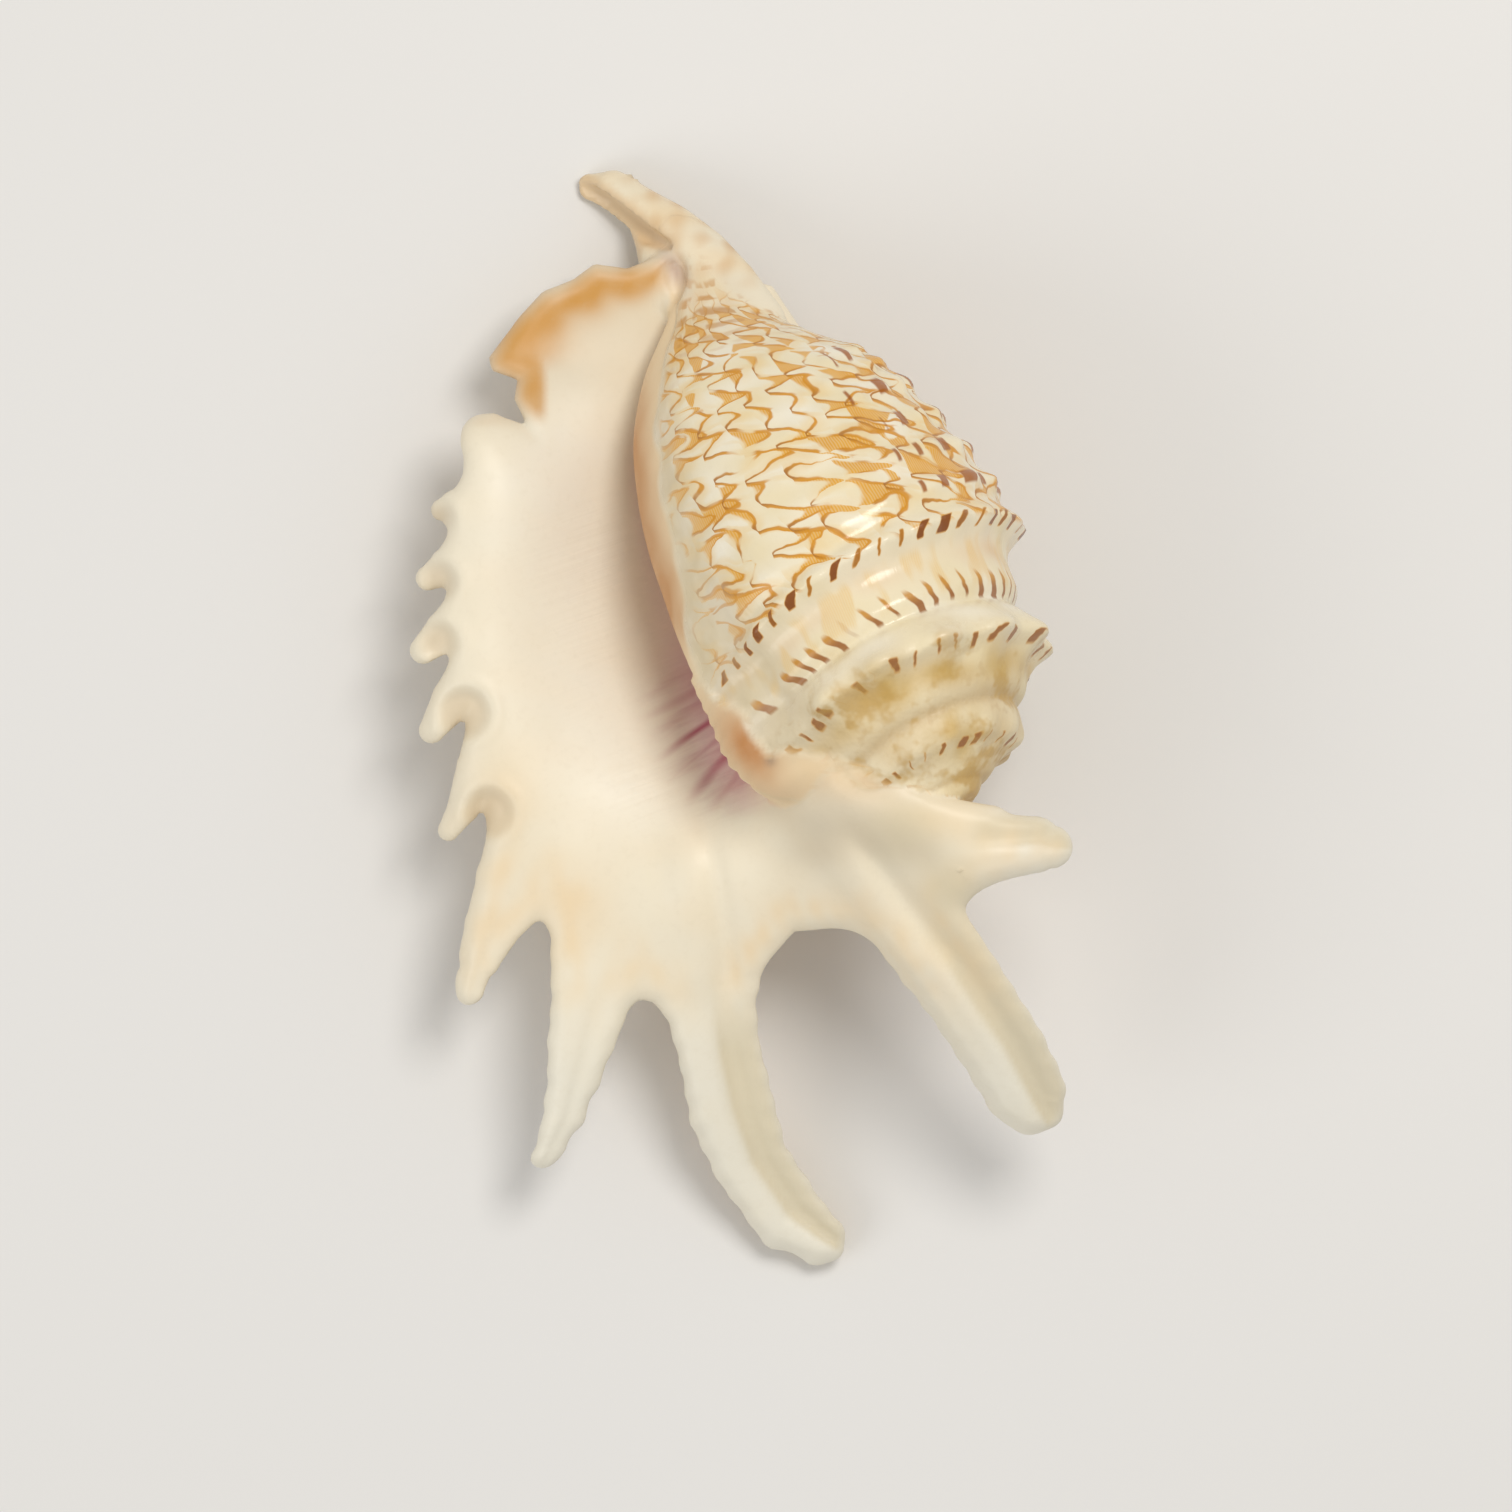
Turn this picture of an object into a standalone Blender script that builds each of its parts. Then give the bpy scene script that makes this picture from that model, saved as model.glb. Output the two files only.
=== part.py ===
"""Spider conch shell: one grown piece, lying on its back with the aperture up.

Lengths are in millimetres until the last step. The siphonal canal points to +Y,
the flared lip with its digits to -X, and the low spire to +X, -Y.
The shell is built as one implicit solid: a coiled body, a flared lip that grows
out of its back, and a canal. The solid is then meshed and thinned.
"""
import bpy
import numpy as np

MM = 0.001

# Coiling axis, from the apex toward the canal
APEX = np.array((24.7, -8.4, 44.0))
AXIS_LEFT = np.radians(20.5)
AXIS_DOWN = np.radians(22.0)

# Shoulder keel in front of the axis, youngest turn last: (log of its height, turn)
KEEL = (
    (-1.1, -3.9), (0.6, -2.8), (1.72, -2), (2.755, -1), (3.408, 0), (4.108, 1),
    (4.808, 2),
)
SEAM = np.radians(-120)

# Radius of the coil along its axis: (distance from the apex, radius)
COIL = (
    (-2, -4), (0, 1.0), (1.2, 3.2), (3, 6.2), (5.5, 9.8), (8, 12.6), (11, 15.3),
    (15, 18), (20, 20.1), (25, 21), (30, 21.6), (36, 22.2), (43, 21.9), (49, 20.9),
    (57.5, 18.6), (63, 16.4), (67, 14), (70.5, 11.4), (74, 8.6), (78, 5.6),
    (82, 3.9), (86, 3), (90, 2.6), (96, 1), (100, -2),
)
# Callus of the inner lip, which stands out from the coil on the aperture side
CALLUS = (
    (-2, 0), (6, 8), (11, 19.5), (16, 23.2), (24, 24.3), (37, 24.2), (43, 23.3),
    (49, 22.3), (57.5, 20.2), (67, 15.8), (73.4, 10.8), (79, 6.3), (83, 3.4), (90, 0),
)
# Callus spread over the spire behind the aperture, seen from above
PAD = (
    (-12, 12), (-6.5, 9.3), (-4.9, 7.4), (-1.4, 5.6), (0.1, 2.3), (1.6, 0), (4.1, 0.7),
    (9.7, -0.1), (15, -2.5), (18.4, -4.2), (22, -9), (0, -14), (-16, 0),
)
# Sideways bend of the coil's centre line toward the lip
BEND = (
    (0, 0), (34, 0), (43, -1.1), (49, -1.9), (57.5, -2.8), (67, -4.4), (74, -5.9),
    (80, -5.6), (86, -5), (100, -8),
)
# Share of the radius between one keel (-1) and the next (0), with the suture between
WHORL = (
    (-1, 1), (-0.93, 0.997), (-0.84, 0.975), (-0.74, 0.94), (-0.64, 0.895),
    (-0.57, 0.855), (-0.54, 0.842), (-0.5, 0.866), (-0.42, 0.902), (-0.34, 0.9),
    (-0.25, 0.893), (-0.16, 0.892), (-0.08, 0.912), (-0.035, 0.955), (0, 1),
)
# Nodulose cords in front of the keel, in turns after it
CORDS = (0.228, 0.42, 0.58, 0.735, 0.832, 0.9, 0.953, 1.036, 1.13, 1.22)
# Tubercles on the back of the shoulder: (degrees round the axis, height)
TUBERCLES = ((108, 1.7), (161, 4.4), (212, 3.6))

# Lip seen from above, without its digits
LIP_OUTLINE = (
    (-5, 64), (-12, 66.3), (-17, 64.2), (-21.3, 64.8), (-24, 62.8), (-28, 61.2),
    (-31, 58), (-35, 52.6), (-34.6, 51.2), (-31.2, 50), (-31.6, 47.2), (-30.3, 44.6),
    (-29.2, 41.6), (-31, 43.2), (-34.5, 44.6), (-38, 41), (-38.3, 37.5), (-39.6, 31),
    (-40, 22.5), (-39.6, 13.5), (-37.2, 5.5), (-35, -6.5), (-26.5, -20), (-14, -32),
    (-6, -33), (1, -27), (5, -22.8), (14, -22), (22, -21), (27.4, -18), (31, -14),
    (31, -7.4), (26, -6.2), (18, -2.6), (11.6, 0.8), (16, 10), (16, 30), (10, 50),
    (2, 62),
)
# Digits of the lip, front to back, as (x, y, half width)
SHORT_DIGITS = (
    ((-30, 37, 6), (-36, 42.2, 2.6)),
    ((-36, 33, 4), (-39.5, 32.6, 2.2), (-41.5, 32.5, 1.1)),
    ((-36, 28, 4), (-40.5, 25, 2.3), (-43.3, 23.5, 1.3)),
    ((-36, 20, 4), (-41, 16.5, 2.4), (-43.9, 14, 1.5)),
    ((-35, 13, 4), (-40, 7.5, 2.5), (-42.8, 3.4, 1.4)),
    ((-33, 5, 4.5), (-36.6, -1.5, 2.6), (-38.8, -7, 1.7), (-40.6, -9.8, 1.1)),
)
LONG_DIGITS = (
    ((-28, -10, 7), (-31.5, -16.5, 5.2), (-34.8, -22.5, 3.4), (-36.5, -26.6, 2.5),
     (-37, -28, 1.8), (-37.8, -30.8, 1.6)),
    ((-19.5, -22, 7.5), (-21.6, -31, 5.2), (-23.6, -40, 3.6), (-25.4, -47.5, 2.3),
     (-28, -53, 1.3)),
    ((-8, -22, 8), (-6.2, -31, 6), (-5, -39, 5.1), (-3.2, -47, 5.3), (-0.6, -54, 4.7),
     (4.2, -61, 4.4), (8.4, -64, 3.2)),
    ((17, -16, 6.5), (22, -23.2, 5.6), (27.5, -31.1, 5.3), (32.6, -38.6, 5.2),
     (35.6, -44.2, 4.9), (36.4, -45.6, 4)),
    ((25, -12.5, 5), (32, -11.9, 4), (36.4, -11.6, 3.4), (38.6, -11.9, 2.5)),
)
GROOVES = (0.3, 0.35, 1, 1, 0.5)  # depth of each long digit's groove
# Hollows where the margin rolls down between the digits: (x, y, radius)
HOLLOWS = (
    (-41.8, 31.6, 1.8), (-42, 23.2, 2.4), (-42, 15.2, 2.4), (-38.4, 5.6, 3.3),
    (-35.2, -7.5, 3.1), (-27.4, -26, 2),
)
# Folds on the lip's face that run on into the long digits, as (x, y, 1)
FOLDS = (
    ((-9.2, -4, 1), (-7.4, -14, 1), (-6, -24, 1), (-5.2, -34, 1)),
    ((8, -8, 1), (14.5, -15, 1), (20, -22.5, 1), (25, -30, 1)),
)
# Ridges on the lip's back, each from the body to the foot of a digit
RIDGES = (
    ((0, 50), (-15, 47), (-30, 41)), ((1, 43), (-18, 38), (-38, 32.8)),
    ((2, 38), (-18, 30), (-39, 25)), ((2, 33), (-18, 22), (-40, 17)),
    ((2, 29), (-18, 13), (-39, 8)), ((3, 25), (-16, 4), (-36, -3)),
    ((4, 22), (-12, -4), (-31, -15.5)), ((6, 18), (-6, -8), (-19.5, -22)),
    ((9, 14), (0, -8), (-7, -24)), ((15, 4), (16, -10), (20, -20)),
    ((18, 6), (22, -8), (32, -11.8)),
)
# Height of the lip's middle surface: (x, y, z)
LIP_HEIGHTS = (
    (-35, 51.5, 15), (-30, 59, 14), (-22, 64, 13), (-13, 66, 12), (-25, 52, 13),
    (-18, 56, 11), (-11, 60, 10), (-14, 48, 10), (-22, 46, 14), (-29, 43, 18),
    (-5, 64, 10), (-14, 40, 9.5), (-13.5, 30, 9.5), (-12.5, 20, 10), (-11, 11, 12),
    (-7.5, 3, 15.5), (-4, -3, 20), (-21, 38, 14), (-21, 28, 14.5), (-20, 18, 15.5),
    (-18, 8, 17), (-14, -3, 20), (-28, 36, 20), (-28, 26, 20), (-28, 15, 20.5),
    (-26, 3, 21.5), (-23, -9, 22.5), (-36, 41, 22.5), (-38, 32, 23.5), (-39, 23, 23.5),
    (-39, 13, 23.5), (-37, 3, 23.5), (-33, -6, 23.5), (-30, -16, 22.5), (-20, -26, 22),
    (-12, -20, 24), (-5, -13, 26), (-3, -25, 22.5), (-6, -33, 19), (-5, -40, 16),
    (-3, -47, 13), (0, -54, 9.6), (4, -61, 6.6), (8.5, -65, 5.1), (-23, -38, 21),
    (-26, -48, 18), (-28, -53, 16), (-36, -25, 20.5), (-38, -31, 19), (-38, -6, 21.5),
    (-41, -10, 19), (-43, 3, 20.5), (-44, 14, 20.5), (-43.5, 23.4, 20.5),
    (-41.6, 32.6, 21), (-36.5, 43, 21), (2, -3, 31), (4, -10, 32), (4, -19, 28),
    (11, -1, 46), (13, -9, 41.5), (14, -18, 36), (18, -4, 47.5), (22, -13, 44),
    (26, -8, 47), (32, -11.5, 46.5), (40, -12, 44), (22, -23.5, 37), (27.5, -31, 34),
    (31.5, -37.5, 30), (35, -44, 26), (36.5, -46.5, 24), (2, 55, 7), (2, 45, 6.5),
    (3, 33, 7.5), (5, 22, 11), (2, 12, 15), (12, 10, 20), (14, 25, 12), (14, 2, 34),
)
LIP_UPPER = 1.7
LIP_LOWER = 1.8
LIP_EDGE = 2.3
HOLLOW_DEPTH = 1.4

# Siphonal canal: (x, y, z, radius)
CANAL = (
    (-0.6, 57, 16, 4.6), (-3.6, 62.2, 13, 3.9), (-6.8, 66.4, 11, 3.4),
    (-10.9, 69.6, 9, 3.3), (-15, 72.3, 7, 3), (-19, 75, 5, 2.8), (-22, 75.6, 3.6, 1.8),
)
CANAL_WEB = ((-14.4, 70.4, 7, 2.1), (-13, 65.8, 8.5, 2.6), (-9.5, 60, 11.5, 3))
# Open trough along the canal's left side
TROUGH = (
    (-11.5, 67.6, 12.4, 0.6), (-14.4, 69.2, 9.6, 1.4), (-16.9, 70.9, 8, 1.7),
    (-20.2, 73.2, 6.3, 1.8), (-23.6, 75, 4.9, 1.6), (-26, 76, 4.2, 1.4),
)
# Narrow end of the aperture, between the front lobe and the canal's foot
SLOT = ((-11.2, 66.2, 14.2, 0.5), (-10.3, 64.4, 13.8, 1.6), (-9.9, 61.5, 14, 1.5))

GRID = 1.0
GRID_LOW = (-48, -71, -2)
GRID_HIGH = (45, 80, 62)
TRIANGLES = 8600
SHELL_COLOUR = (0.84, 0.76, 0.62, 1)


def axis_frame():
    """The axis, the direction across it that faces up, and the one to the right."""
    sideways = np.cos(AXIS_DOWN)
    along = np.array((
        -np.sin(AXIS_LEFT) * sideways,
        np.cos(AXIS_LEFT) * sideways,
        -np.sin(AXIS_DOWN),
    ))
    up = np.array((0.0, 0.0, 1.0)) - along * along[2]
    up /= np.linalg.norm(up)
    return along, up, np.cross(along, up)


ALONG, UP, RIGHT = axis_frame()


def step(start, end, x):
    u = np.clip((x - start) / (end - start), 0, 1)
    return u * u * (3 - 2 * u)


def bell(x, width):
    return np.exp(-(x / width) ** 2)


def curve(points, x):
    """A smooth curve through the points, held level past its ends."""
    xs, ys = np.array(points, float).T
    slopes = np.gradient(ys, xs)
    x = np.clip(x, xs[0], xs[-1])
    i = np.clip(np.searchsorted(xs, x, side="right") - 1, 0, len(xs) - 2)
    width = xs[i + 1] - xs[i]
    u = (x - xs[i]) / width
    rise = u * u * (3 - 2 * u)
    bulge = u * (1 - u)
    ends = ys[i] + (ys[i + 1] - ys[i]) * rise
    return ends + bulge * width * (slopes[i] * (1 - u) - slopes[i + 1] * u)


def join(a, b, reach):
    """Union of two solids with a fillet."""
    h = np.clip(0.5 + 0.5 * (b - a) / reach, 0, 1)
    return b + (a - b) * h - reach * h * (1 - h)


def cut(a, b, reach):
    """The first solid less the second, with a rounded edge."""
    return -join(-a, b, reach)


def around_axis(x, y, z):
    d = (x - APEX[0], y - APEX[1], z - APEX[2])
    return [sum(d[i] * v[i] for i in range(3)) for v in (ALONG, UP, RIGHT)]


def coil(x, y, z):
    """The spire and body whorl, as a radius that varies along and round the axis."""
    height, up, right = around_axis(x, y, z)
    right = right - curve(BEND, height)
    round_axis = np.arctan2(right, up)
    grown = np.where(round_axis < SEAM, round_axis + 2 * np.pi, round_axis)
    degrees = np.degrees(grown)
    turns = curve(KEEL, np.log(np.maximum(height, 0.35))) - grown / (2 * np.pi)
    between = np.where(turns < 0, turns - np.ceil(turns), 0)
    share = np.where(turns < 0, curve(WHORL, between), 1)
    glaze = step(-20, -70, degrees) * step(34, 28, height)
    share = share + (0.95 - share) * 0.55 * glaze
    radius = curve(COIL, height) * share

    # Keel with its knobs, which are stronger on the older whorls
    older = step(-0.25, -0.6, turns)
    knobs = older * 1.7 * (0.5 + 0.5 * np.cos(13 * grown + 0.9))
    beads = (1 - older) * 0.5 * (0.5 + 0.5 * np.cos(24 * grown))
    keel = bell(turns - np.round(turns), 0.08 + 0.12 * older) * (turns < 0.5)
    keel = keel * np.clip(height / 16, 0, 1) * (1 - 0.6 * glaze)
    radius = radius + keel * (0.4 - 0.3 * older + knobs + beads)
    radius = radius - 0.5 * bell(turns - 0.12, 0.05)

    # The last half turn swells into the back of the lip and carries the tubercles
    radius = radius * (1 + 0.13 * step(110, 190, degrees) * step(10, 26, height))
    for angle, tall in TUBERCLES:
        spot = bell(degrees - angle, 17.2) * bell(turns - 0.02, 0.17)
        radius = radius + tall * spot

    # Cords, faint near the aperture and beaded toward the back
    away = step(-20, 80, degrees)
    for i, cord in enumerate(CORDS):
        beads = 0.55 + 0.45 * np.cos((18 + 2 * i) * grown + 1.7 * i)
        strength = 1.3 if cord < 0.94 else 0.4
        width = 0.05 if cord < 0.8 else 0.035
        shape = bell(turns - cord, width) * step(96, 80, height)
        radius = radius + (0.12 + strength * away * beads) * shape

    # Callus edge, and the wall that draws in behind it toward the throat
    degrees = np.degrees(round_axis)
    flare = step(-52, -88, degrees) * step(-150, -88, degrees)
    scallop = 0.22 * np.cos(2.9 * height) * bell(height - 19, 9)
    radius = radius + (np.maximum(curve(CALLUS, height) - radius, 0) + scallop) * flare
    pad = step(0.6, -0.6, outline_distance(PAD, x, y)) * step(-2, 2, up)
    radius = radius + 0.6 * pad
    throat = step(-84, -128, degrees) * step(-180, -152, degrees)
    radius = radius * (1 - 0.20 * throat * step(12, 24, height))
    return (np.hypot(right, up) - radius) * 0.9


def outline_distance(points, x, y):
    """Distance to a closed outline, below zero inside it."""
    nearest = np.full(x.shape, 1e9)
    inside = np.zeros(x.shape, bool)
    for (ax, ay), (bx, by) in zip(points, points[1:] + points[:1]):
        ex, ey = bx - ax, by - ay
        wx, wy = x - ax, y - ay
        t = np.clip((wx * ex + wy * ey) / (ex * ex + ey * ey), 0, 1)
        nearest = np.minimum(nearest, np.hypot(wx - ex * t, wy - ey * t))
        if ey:
            crosses = (ay <= y) != (by <= y)
            inside ^= crosses & (x < ax + wy * ex / ey)
    return np.where(inside, -nearest, nearest)


def digit_distance(path, x, y):
    """Distance to a tapering digit, place across it (-1 to 1), share of its length."""
    nearest = np.full(x.shape, 1e9)
    across = np.zeros(x.shape)
    along = np.zeros(x.shape)
    length = 0
    for (ax, ay, ar), (bx, by, br) in zip(path, path[1:]):
        ex, ey = bx - ax, by - ay
        leg = np.hypot(ex, ey)
        t = np.clip(((x - ax) * ex + (y - ay) * ey) / leg ** 2, 0, 1)
        half = ar + (br - ar) * t
        d = np.hypot(x - ax - ex * t, y - ay - ey * t) - half
        near = d < nearest
        across = np.where(near, ((x - ax) * ey - (y - ay) * ex) / leg / half, across)
        along = np.where(near, length + leg * t, along)
        nearest = np.where(near, d, nearest)
        length += leg
    return nearest, across, along / length


def path_distance(path, x, y):
    return digit_distance([(a, b, 1e-4) for a, b in path], x, y)[0]


def plate_weights():
    """Weights of the thin plate that passes close to LIP_HEIGHTS."""
    p = np.array(LIP_HEIGHTS, float)
    n = len(p)
    d = np.hypot(p[:, None, 0] - p[None, :, 0], p[:, None, 1] - p[None, :, 1])
    a = np.zeros((n + 3, n + 3))
    a[:n, :n] = d * d * np.log(np.maximum(d, 1e-9)) + np.eye(n) * 6
    a[:n, n] = 1
    a[:n, n + 1:] = p[:, :2]
    a[n:, :n] = a[:n, n:].T
    return np.linalg.solve(a, np.concatenate([p[:, 2], np.zeros(3)]))


PLATE = plate_weights()


def lip_height(x, y):
    total = PLATE[-3] + PLATE[-2] * x + PLATE[-1] * y
    for (a, b, _), weight in zip(LIP_HEIGHTS, PLATE):
        r2 = (x - a) ** 2 + (y - b) ** 2 + 1e-12
        total = total + weight * 0.5 * r2 * np.log(r2)
    return total


def lip_plan(x, y):
    """What the lip has at each place seen from above: edge, height, slope, thickness."""
    edge = outline_distance(LIP_OUTLINE, x, y)
    upper = np.full(x.shape, LIP_UPPER)
    lower = np.full(x.shape, LIP_LOWER)
    for path in SHORT_DIGITS:
        d, across, along = digit_distance(path, x, y)
        edge = join(edge, d, 1.6)
        on = step(1, -1.5, d) * step(0.05, 0.45, along)
        lower = lower + on * 1.2 * bell(across, 0.6)
    for path, deep in zip(LONG_DIGITS, GROOVES):
        d, across, along = digit_distance(path, x, y)
        edge = join(edge, d, 3.2)
        on = step(1, -1.5, d) * step(0.05, 0.45, along)
        upper = upper + on * deep * (0.9 * bell(across - 0.42, 0.40))
        upper = upper - on * deep * (0.9 * bell(across + 0.20, 0.26))
        lower = lower + on * 1.2 * bell(across, 0.6)
    wavy = np.sin(1.1 * y + 0.5 * x) * np.sin(0.53 * y - 0.9 * x)
    edge = edge - 0.35 + 0.22 * wavy * step(-20, -30, y)
    for path in FOLDS:
        d, across, along = digit_distance(path, x, y)
        on = step(6, 2, d) * step(0, 0.35, along) * step(1, 0.8, along)
        upper = upper + on * (0.5 * bell(across - 0.5, 1.4) - 0.7 * bell(across + 2, 1.6))
    for path in RIDGES:
        ridge = bell(path_distance(path, x, y), 1.5)
        lower = lower + 0.9 * ridge * step(0, -3, edge)
    fall = np.zeros(x.shape)
    for a, b, reach in HOLLOWS:
        d = np.hypot(x - a, y - b) - reach
        fall = np.maximum(fall, step(0.7, -1.5, d))
        upper = upper + 0.25 * bell(d - 1, 0.8)
    e = 0.05
    slope_x = (lip_height(x + e, y) - lip_height(x - e, y)) / (2 * e)
    slope_y = (lip_height(x, y + e) - lip_height(x, y - e)) / (2 * e)
    level = 1 / np.sqrt(1 + slope_x ** 2 + slope_y ** 2)
    return edge, lip_height(x, y) - HOLLOW_DEPTH * fall, level, upper, lower


def lip(plan, z):
    """The flared lip, a plate with a rounded edge."""
    edge, height, level, upper, lower = plan
    off = (z - height) * level
    thick = np.where(off > 0, upper, lower)
    inward = np.maximum(LIP_EDGE + edge, 0) / LIP_EDGE
    g = np.hypot(inward, off / thick)
    slope = np.hypot(inward / LIP_EDGE, off / thick ** 2) / np.maximum(g, 1e-6)
    return (g - 1) / np.maximum(slope, 0.25)


def tube(path, x, y, z):
    nearest = np.full(np.shape(x), 1e9)
    for a, b in zip(path, path[1:]):
        e = [b[i] - a[i] for i in range(3)]
        w = (x - a[0], y - a[1], z - a[2])
        t = np.clip(sum(w[i] * e[i] for i in range(3)) / sum(v * v for v in e), 0, 1)
        d = np.sqrt(sum((w[i] - e[i] * t) ** 2 for i in range(3)))
        nearest = np.minimum(nearest, d - (a[3] + (b[3] - a[3]) * t))
    return nearest


def shell(x, y, z, plan):
    """The whole solid, below zero inside."""
    _, up, right = around_axis(x, y, z)
    back = step(140, 172, np.abs(np.degrees(np.arctan2(right, up))))
    solid = join(coil(x, y, z), lip(plan, z), 1.6 + 4.4 * back)
    solid = join(solid, tube(CANAL, x, y, z), 2)
    solid = join(solid, tube(CANAL_WEB, x, y, z), 1.5)
    solid = cut(solid, tube(TROUGH, x, y, z), 0.8)
    return cut(solid, tube(SLOT, x, y, z), 0.6)


def sampled():
    """The solid on a grid, with cells that touch only at an edge filled in."""
    axes = [np.arange(a, b + GRID, GRID) for a, b in zip(GRID_LOW, GRID_HIGH)]
    x, y = np.meshgrid(axes[0], axes[1], indexing="ij")
    plan = lip_plan(x, y)
    layers = [shell(x, y, np.full(x.shape, z), plan) for z in axes[2]]
    field = np.stack(layers, axis=2)
    for _ in range(8):
        for a, b in ((0, 1), (0, 2), (1, 2)):
            view = np.moveaxis(field, (a, b), (0, 1))
            c = [view[:-1, :-1], view[1:, :-1], view[1:, 1:], view[:-1, 1:]]
            inside = [v < 0 for v in c]
            odd = (inside[0] == inside[2]) & (inside[1] == inside[3])
            odd &= inside[0] != inside[1]
            for v in c:
                v[odd & (v >= 0)] = -0.05
    return axes, field


def mesh_of(axes, field):
    """One vertex in each cell that the surface crosses, one quad at each crossed edge."""
    inside = field < 0
    size = [n - 1 for n in field.shape]
    corners = [(i, j, k) for i in (0, 1) for j in (0, 1) for k in (0, 1)]
    count = np.zeros(size, int)
    for i, j, k in corners:
        count += inside[i:i + size[0], j:j + size[1], k:k + size[2]]
    cells = np.array(np.nonzero((count > 0) & (count < 8)))
    number = np.full(size, -1)
    number[tuple(cells)] = np.arange(cells.shape[1])
    total = np.zeros(cells.shape)
    crossings = np.zeros(cells.shape[1])
    for a in corners:
        for b in corners:
            if a >= b or sum(p != q for p, q in zip(a, b)) != 1:
                continue
            fa = field[tuple(cells[i] + a[i] for i in range(3))]
            fb = field[tuple(cells[i] + b[i] for i in range(3))]
            crossed = (fa < 0) != (fb < 0)
            t = np.where(crossed, fa / np.where(crossed, fa - fb, 1), 0)
            for i in range(3):
                total[i] += crossed * (a[i] + (b[i] - a[i]) * t)
            crossings += crossed
    points = [axes[i][0] + GRID * (cells[i] + total[i] / crossings) for i in range(3)]
    quads = []
    for d in range(3):
        u, v = [i for i in range(3) if i != d]
        low = [slice(None)] * 3
        high = [slice(None)] * 3
        low[d] = slice(0, -1)
        high[d] = slice(1, None)
        starts = inside[tuple(low)]
        e = np.array(np.nonzero(starts != inside[tuple(high)]))
        loop = []
        for du, dv in ((0, 0), (-1, 0), (-1, -1), (0, -1)):
            p = e.copy()
            p[u] += du
            p[v] += dv
            loop.append(number[tuple(p)])
        loop = np.stack(loop, axis=1)
        turned = starts[tuple(e)] == (d == 1)
        loop[turned] = loop[turned][:, ::-1]
        quads.append(loop)
    return np.stack(points, axis=1), np.concatenate(quads)


def clear_scene():
    for obj in list(bpy.data.objects):
        bpy.data.objects.remove(obj)


def shell_material():
    material = bpy.data.materials.new("shell_cream")
    material.use_nodes = True
    surface = material.node_tree.nodes["Principled BSDF"]
    surface.inputs["Base Color"].default_value = SHELL_COLOUR
    surface.inputs["Roughness"].default_value = 0.3
    return material


def main():
    clear_scene()
    points, quads = mesh_of(*sampled())
    low, high = points.min(axis=0), points.max(axis=0)
    points -= ((low[0] + high[0]) / 2, (low[1] + high[1]) / 2, low[2])
    mesh = bpy.data.meshes.new("shell")
    mesh.from_pydata((points * MM).tolist(), [], quads.tolist())
    mesh.materials.append(shell_material())
    obj = bpy.data.objects.new("shell", mesh)
    bpy.context.scene.collection.objects.link(obj)
    thin = obj.modifiers.new("thin", "DECIMATE")
    thin.ratio = TRIANGLES / (2 * len(quads))


main()
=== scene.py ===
"""Spider conch shell on a pale floor, seen from straight above as it lies on its back.

Lengths are in millimetres in the design frame until the mesh is placed.
"""
from types import SimpleNamespace

import bpy
import numpy as np
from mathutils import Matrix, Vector


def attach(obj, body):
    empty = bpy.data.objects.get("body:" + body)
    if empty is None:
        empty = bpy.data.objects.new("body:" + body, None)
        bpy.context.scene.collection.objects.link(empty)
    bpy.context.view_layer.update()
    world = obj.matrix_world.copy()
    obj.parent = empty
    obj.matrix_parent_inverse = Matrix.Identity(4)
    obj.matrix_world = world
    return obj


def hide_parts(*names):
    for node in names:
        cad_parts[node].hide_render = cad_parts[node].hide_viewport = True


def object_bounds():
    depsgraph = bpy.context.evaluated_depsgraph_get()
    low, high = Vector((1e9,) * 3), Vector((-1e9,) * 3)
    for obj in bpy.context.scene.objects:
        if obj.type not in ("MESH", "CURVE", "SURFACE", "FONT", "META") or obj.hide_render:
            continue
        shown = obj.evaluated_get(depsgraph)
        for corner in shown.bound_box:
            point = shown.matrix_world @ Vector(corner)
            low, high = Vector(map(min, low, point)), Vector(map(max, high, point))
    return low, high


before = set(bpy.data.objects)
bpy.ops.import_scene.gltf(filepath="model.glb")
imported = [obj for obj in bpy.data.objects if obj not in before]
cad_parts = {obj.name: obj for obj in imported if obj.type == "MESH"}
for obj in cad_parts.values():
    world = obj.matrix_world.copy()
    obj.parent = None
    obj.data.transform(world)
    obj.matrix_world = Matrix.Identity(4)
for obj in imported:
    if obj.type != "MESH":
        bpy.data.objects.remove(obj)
cad_low, cad_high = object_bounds()

MM = 0.001
METRE = 1000  # in millimetres

# Coiling axis, from the apex toward the canal
APEX = np.array((24.7, -8.4, 44.0))
AXIS_LEFT = np.radians(20.5)
AXIS_DOWN = np.radians(22.0)

# Shoulder keel in front of the axis, youngest turn last: (log of its height, turn)
KEEL = (
    (-1.1, -3.9), (0.6, -2.8), (1.72, -2), (2.755, -1), (3.408, 0), (4.108, 1),
    (4.808, 2),
)
# Where one turn passes into the next, round the axis
SEAM_DEGREES = -120
SEAM = np.radians(SEAM_DEGREES)
TIP_HEIGHT = 0.35

# Radius of the coil along its axis: (distance from the apex, radius)
COIL = (
    (-2, -4), (0, 1.0), (1.2, 3.2), (3, 6.2), (5.5, 9.8), (8, 12.6), (11, 15.3),
    (15, 18), (20, 20.1), (25, 21), (30, 21.6), (36, 22.2), (43, 21.9), (49, 20.9),
    (57.5, 18.6), (63, 16.4), (67, 14), (70.5, 11.4), (74, 8.6), (78, 5.6),
    (82, 3.9), (86, 3), (90, 2.6), (96, 1), (100, -2),
)
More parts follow.
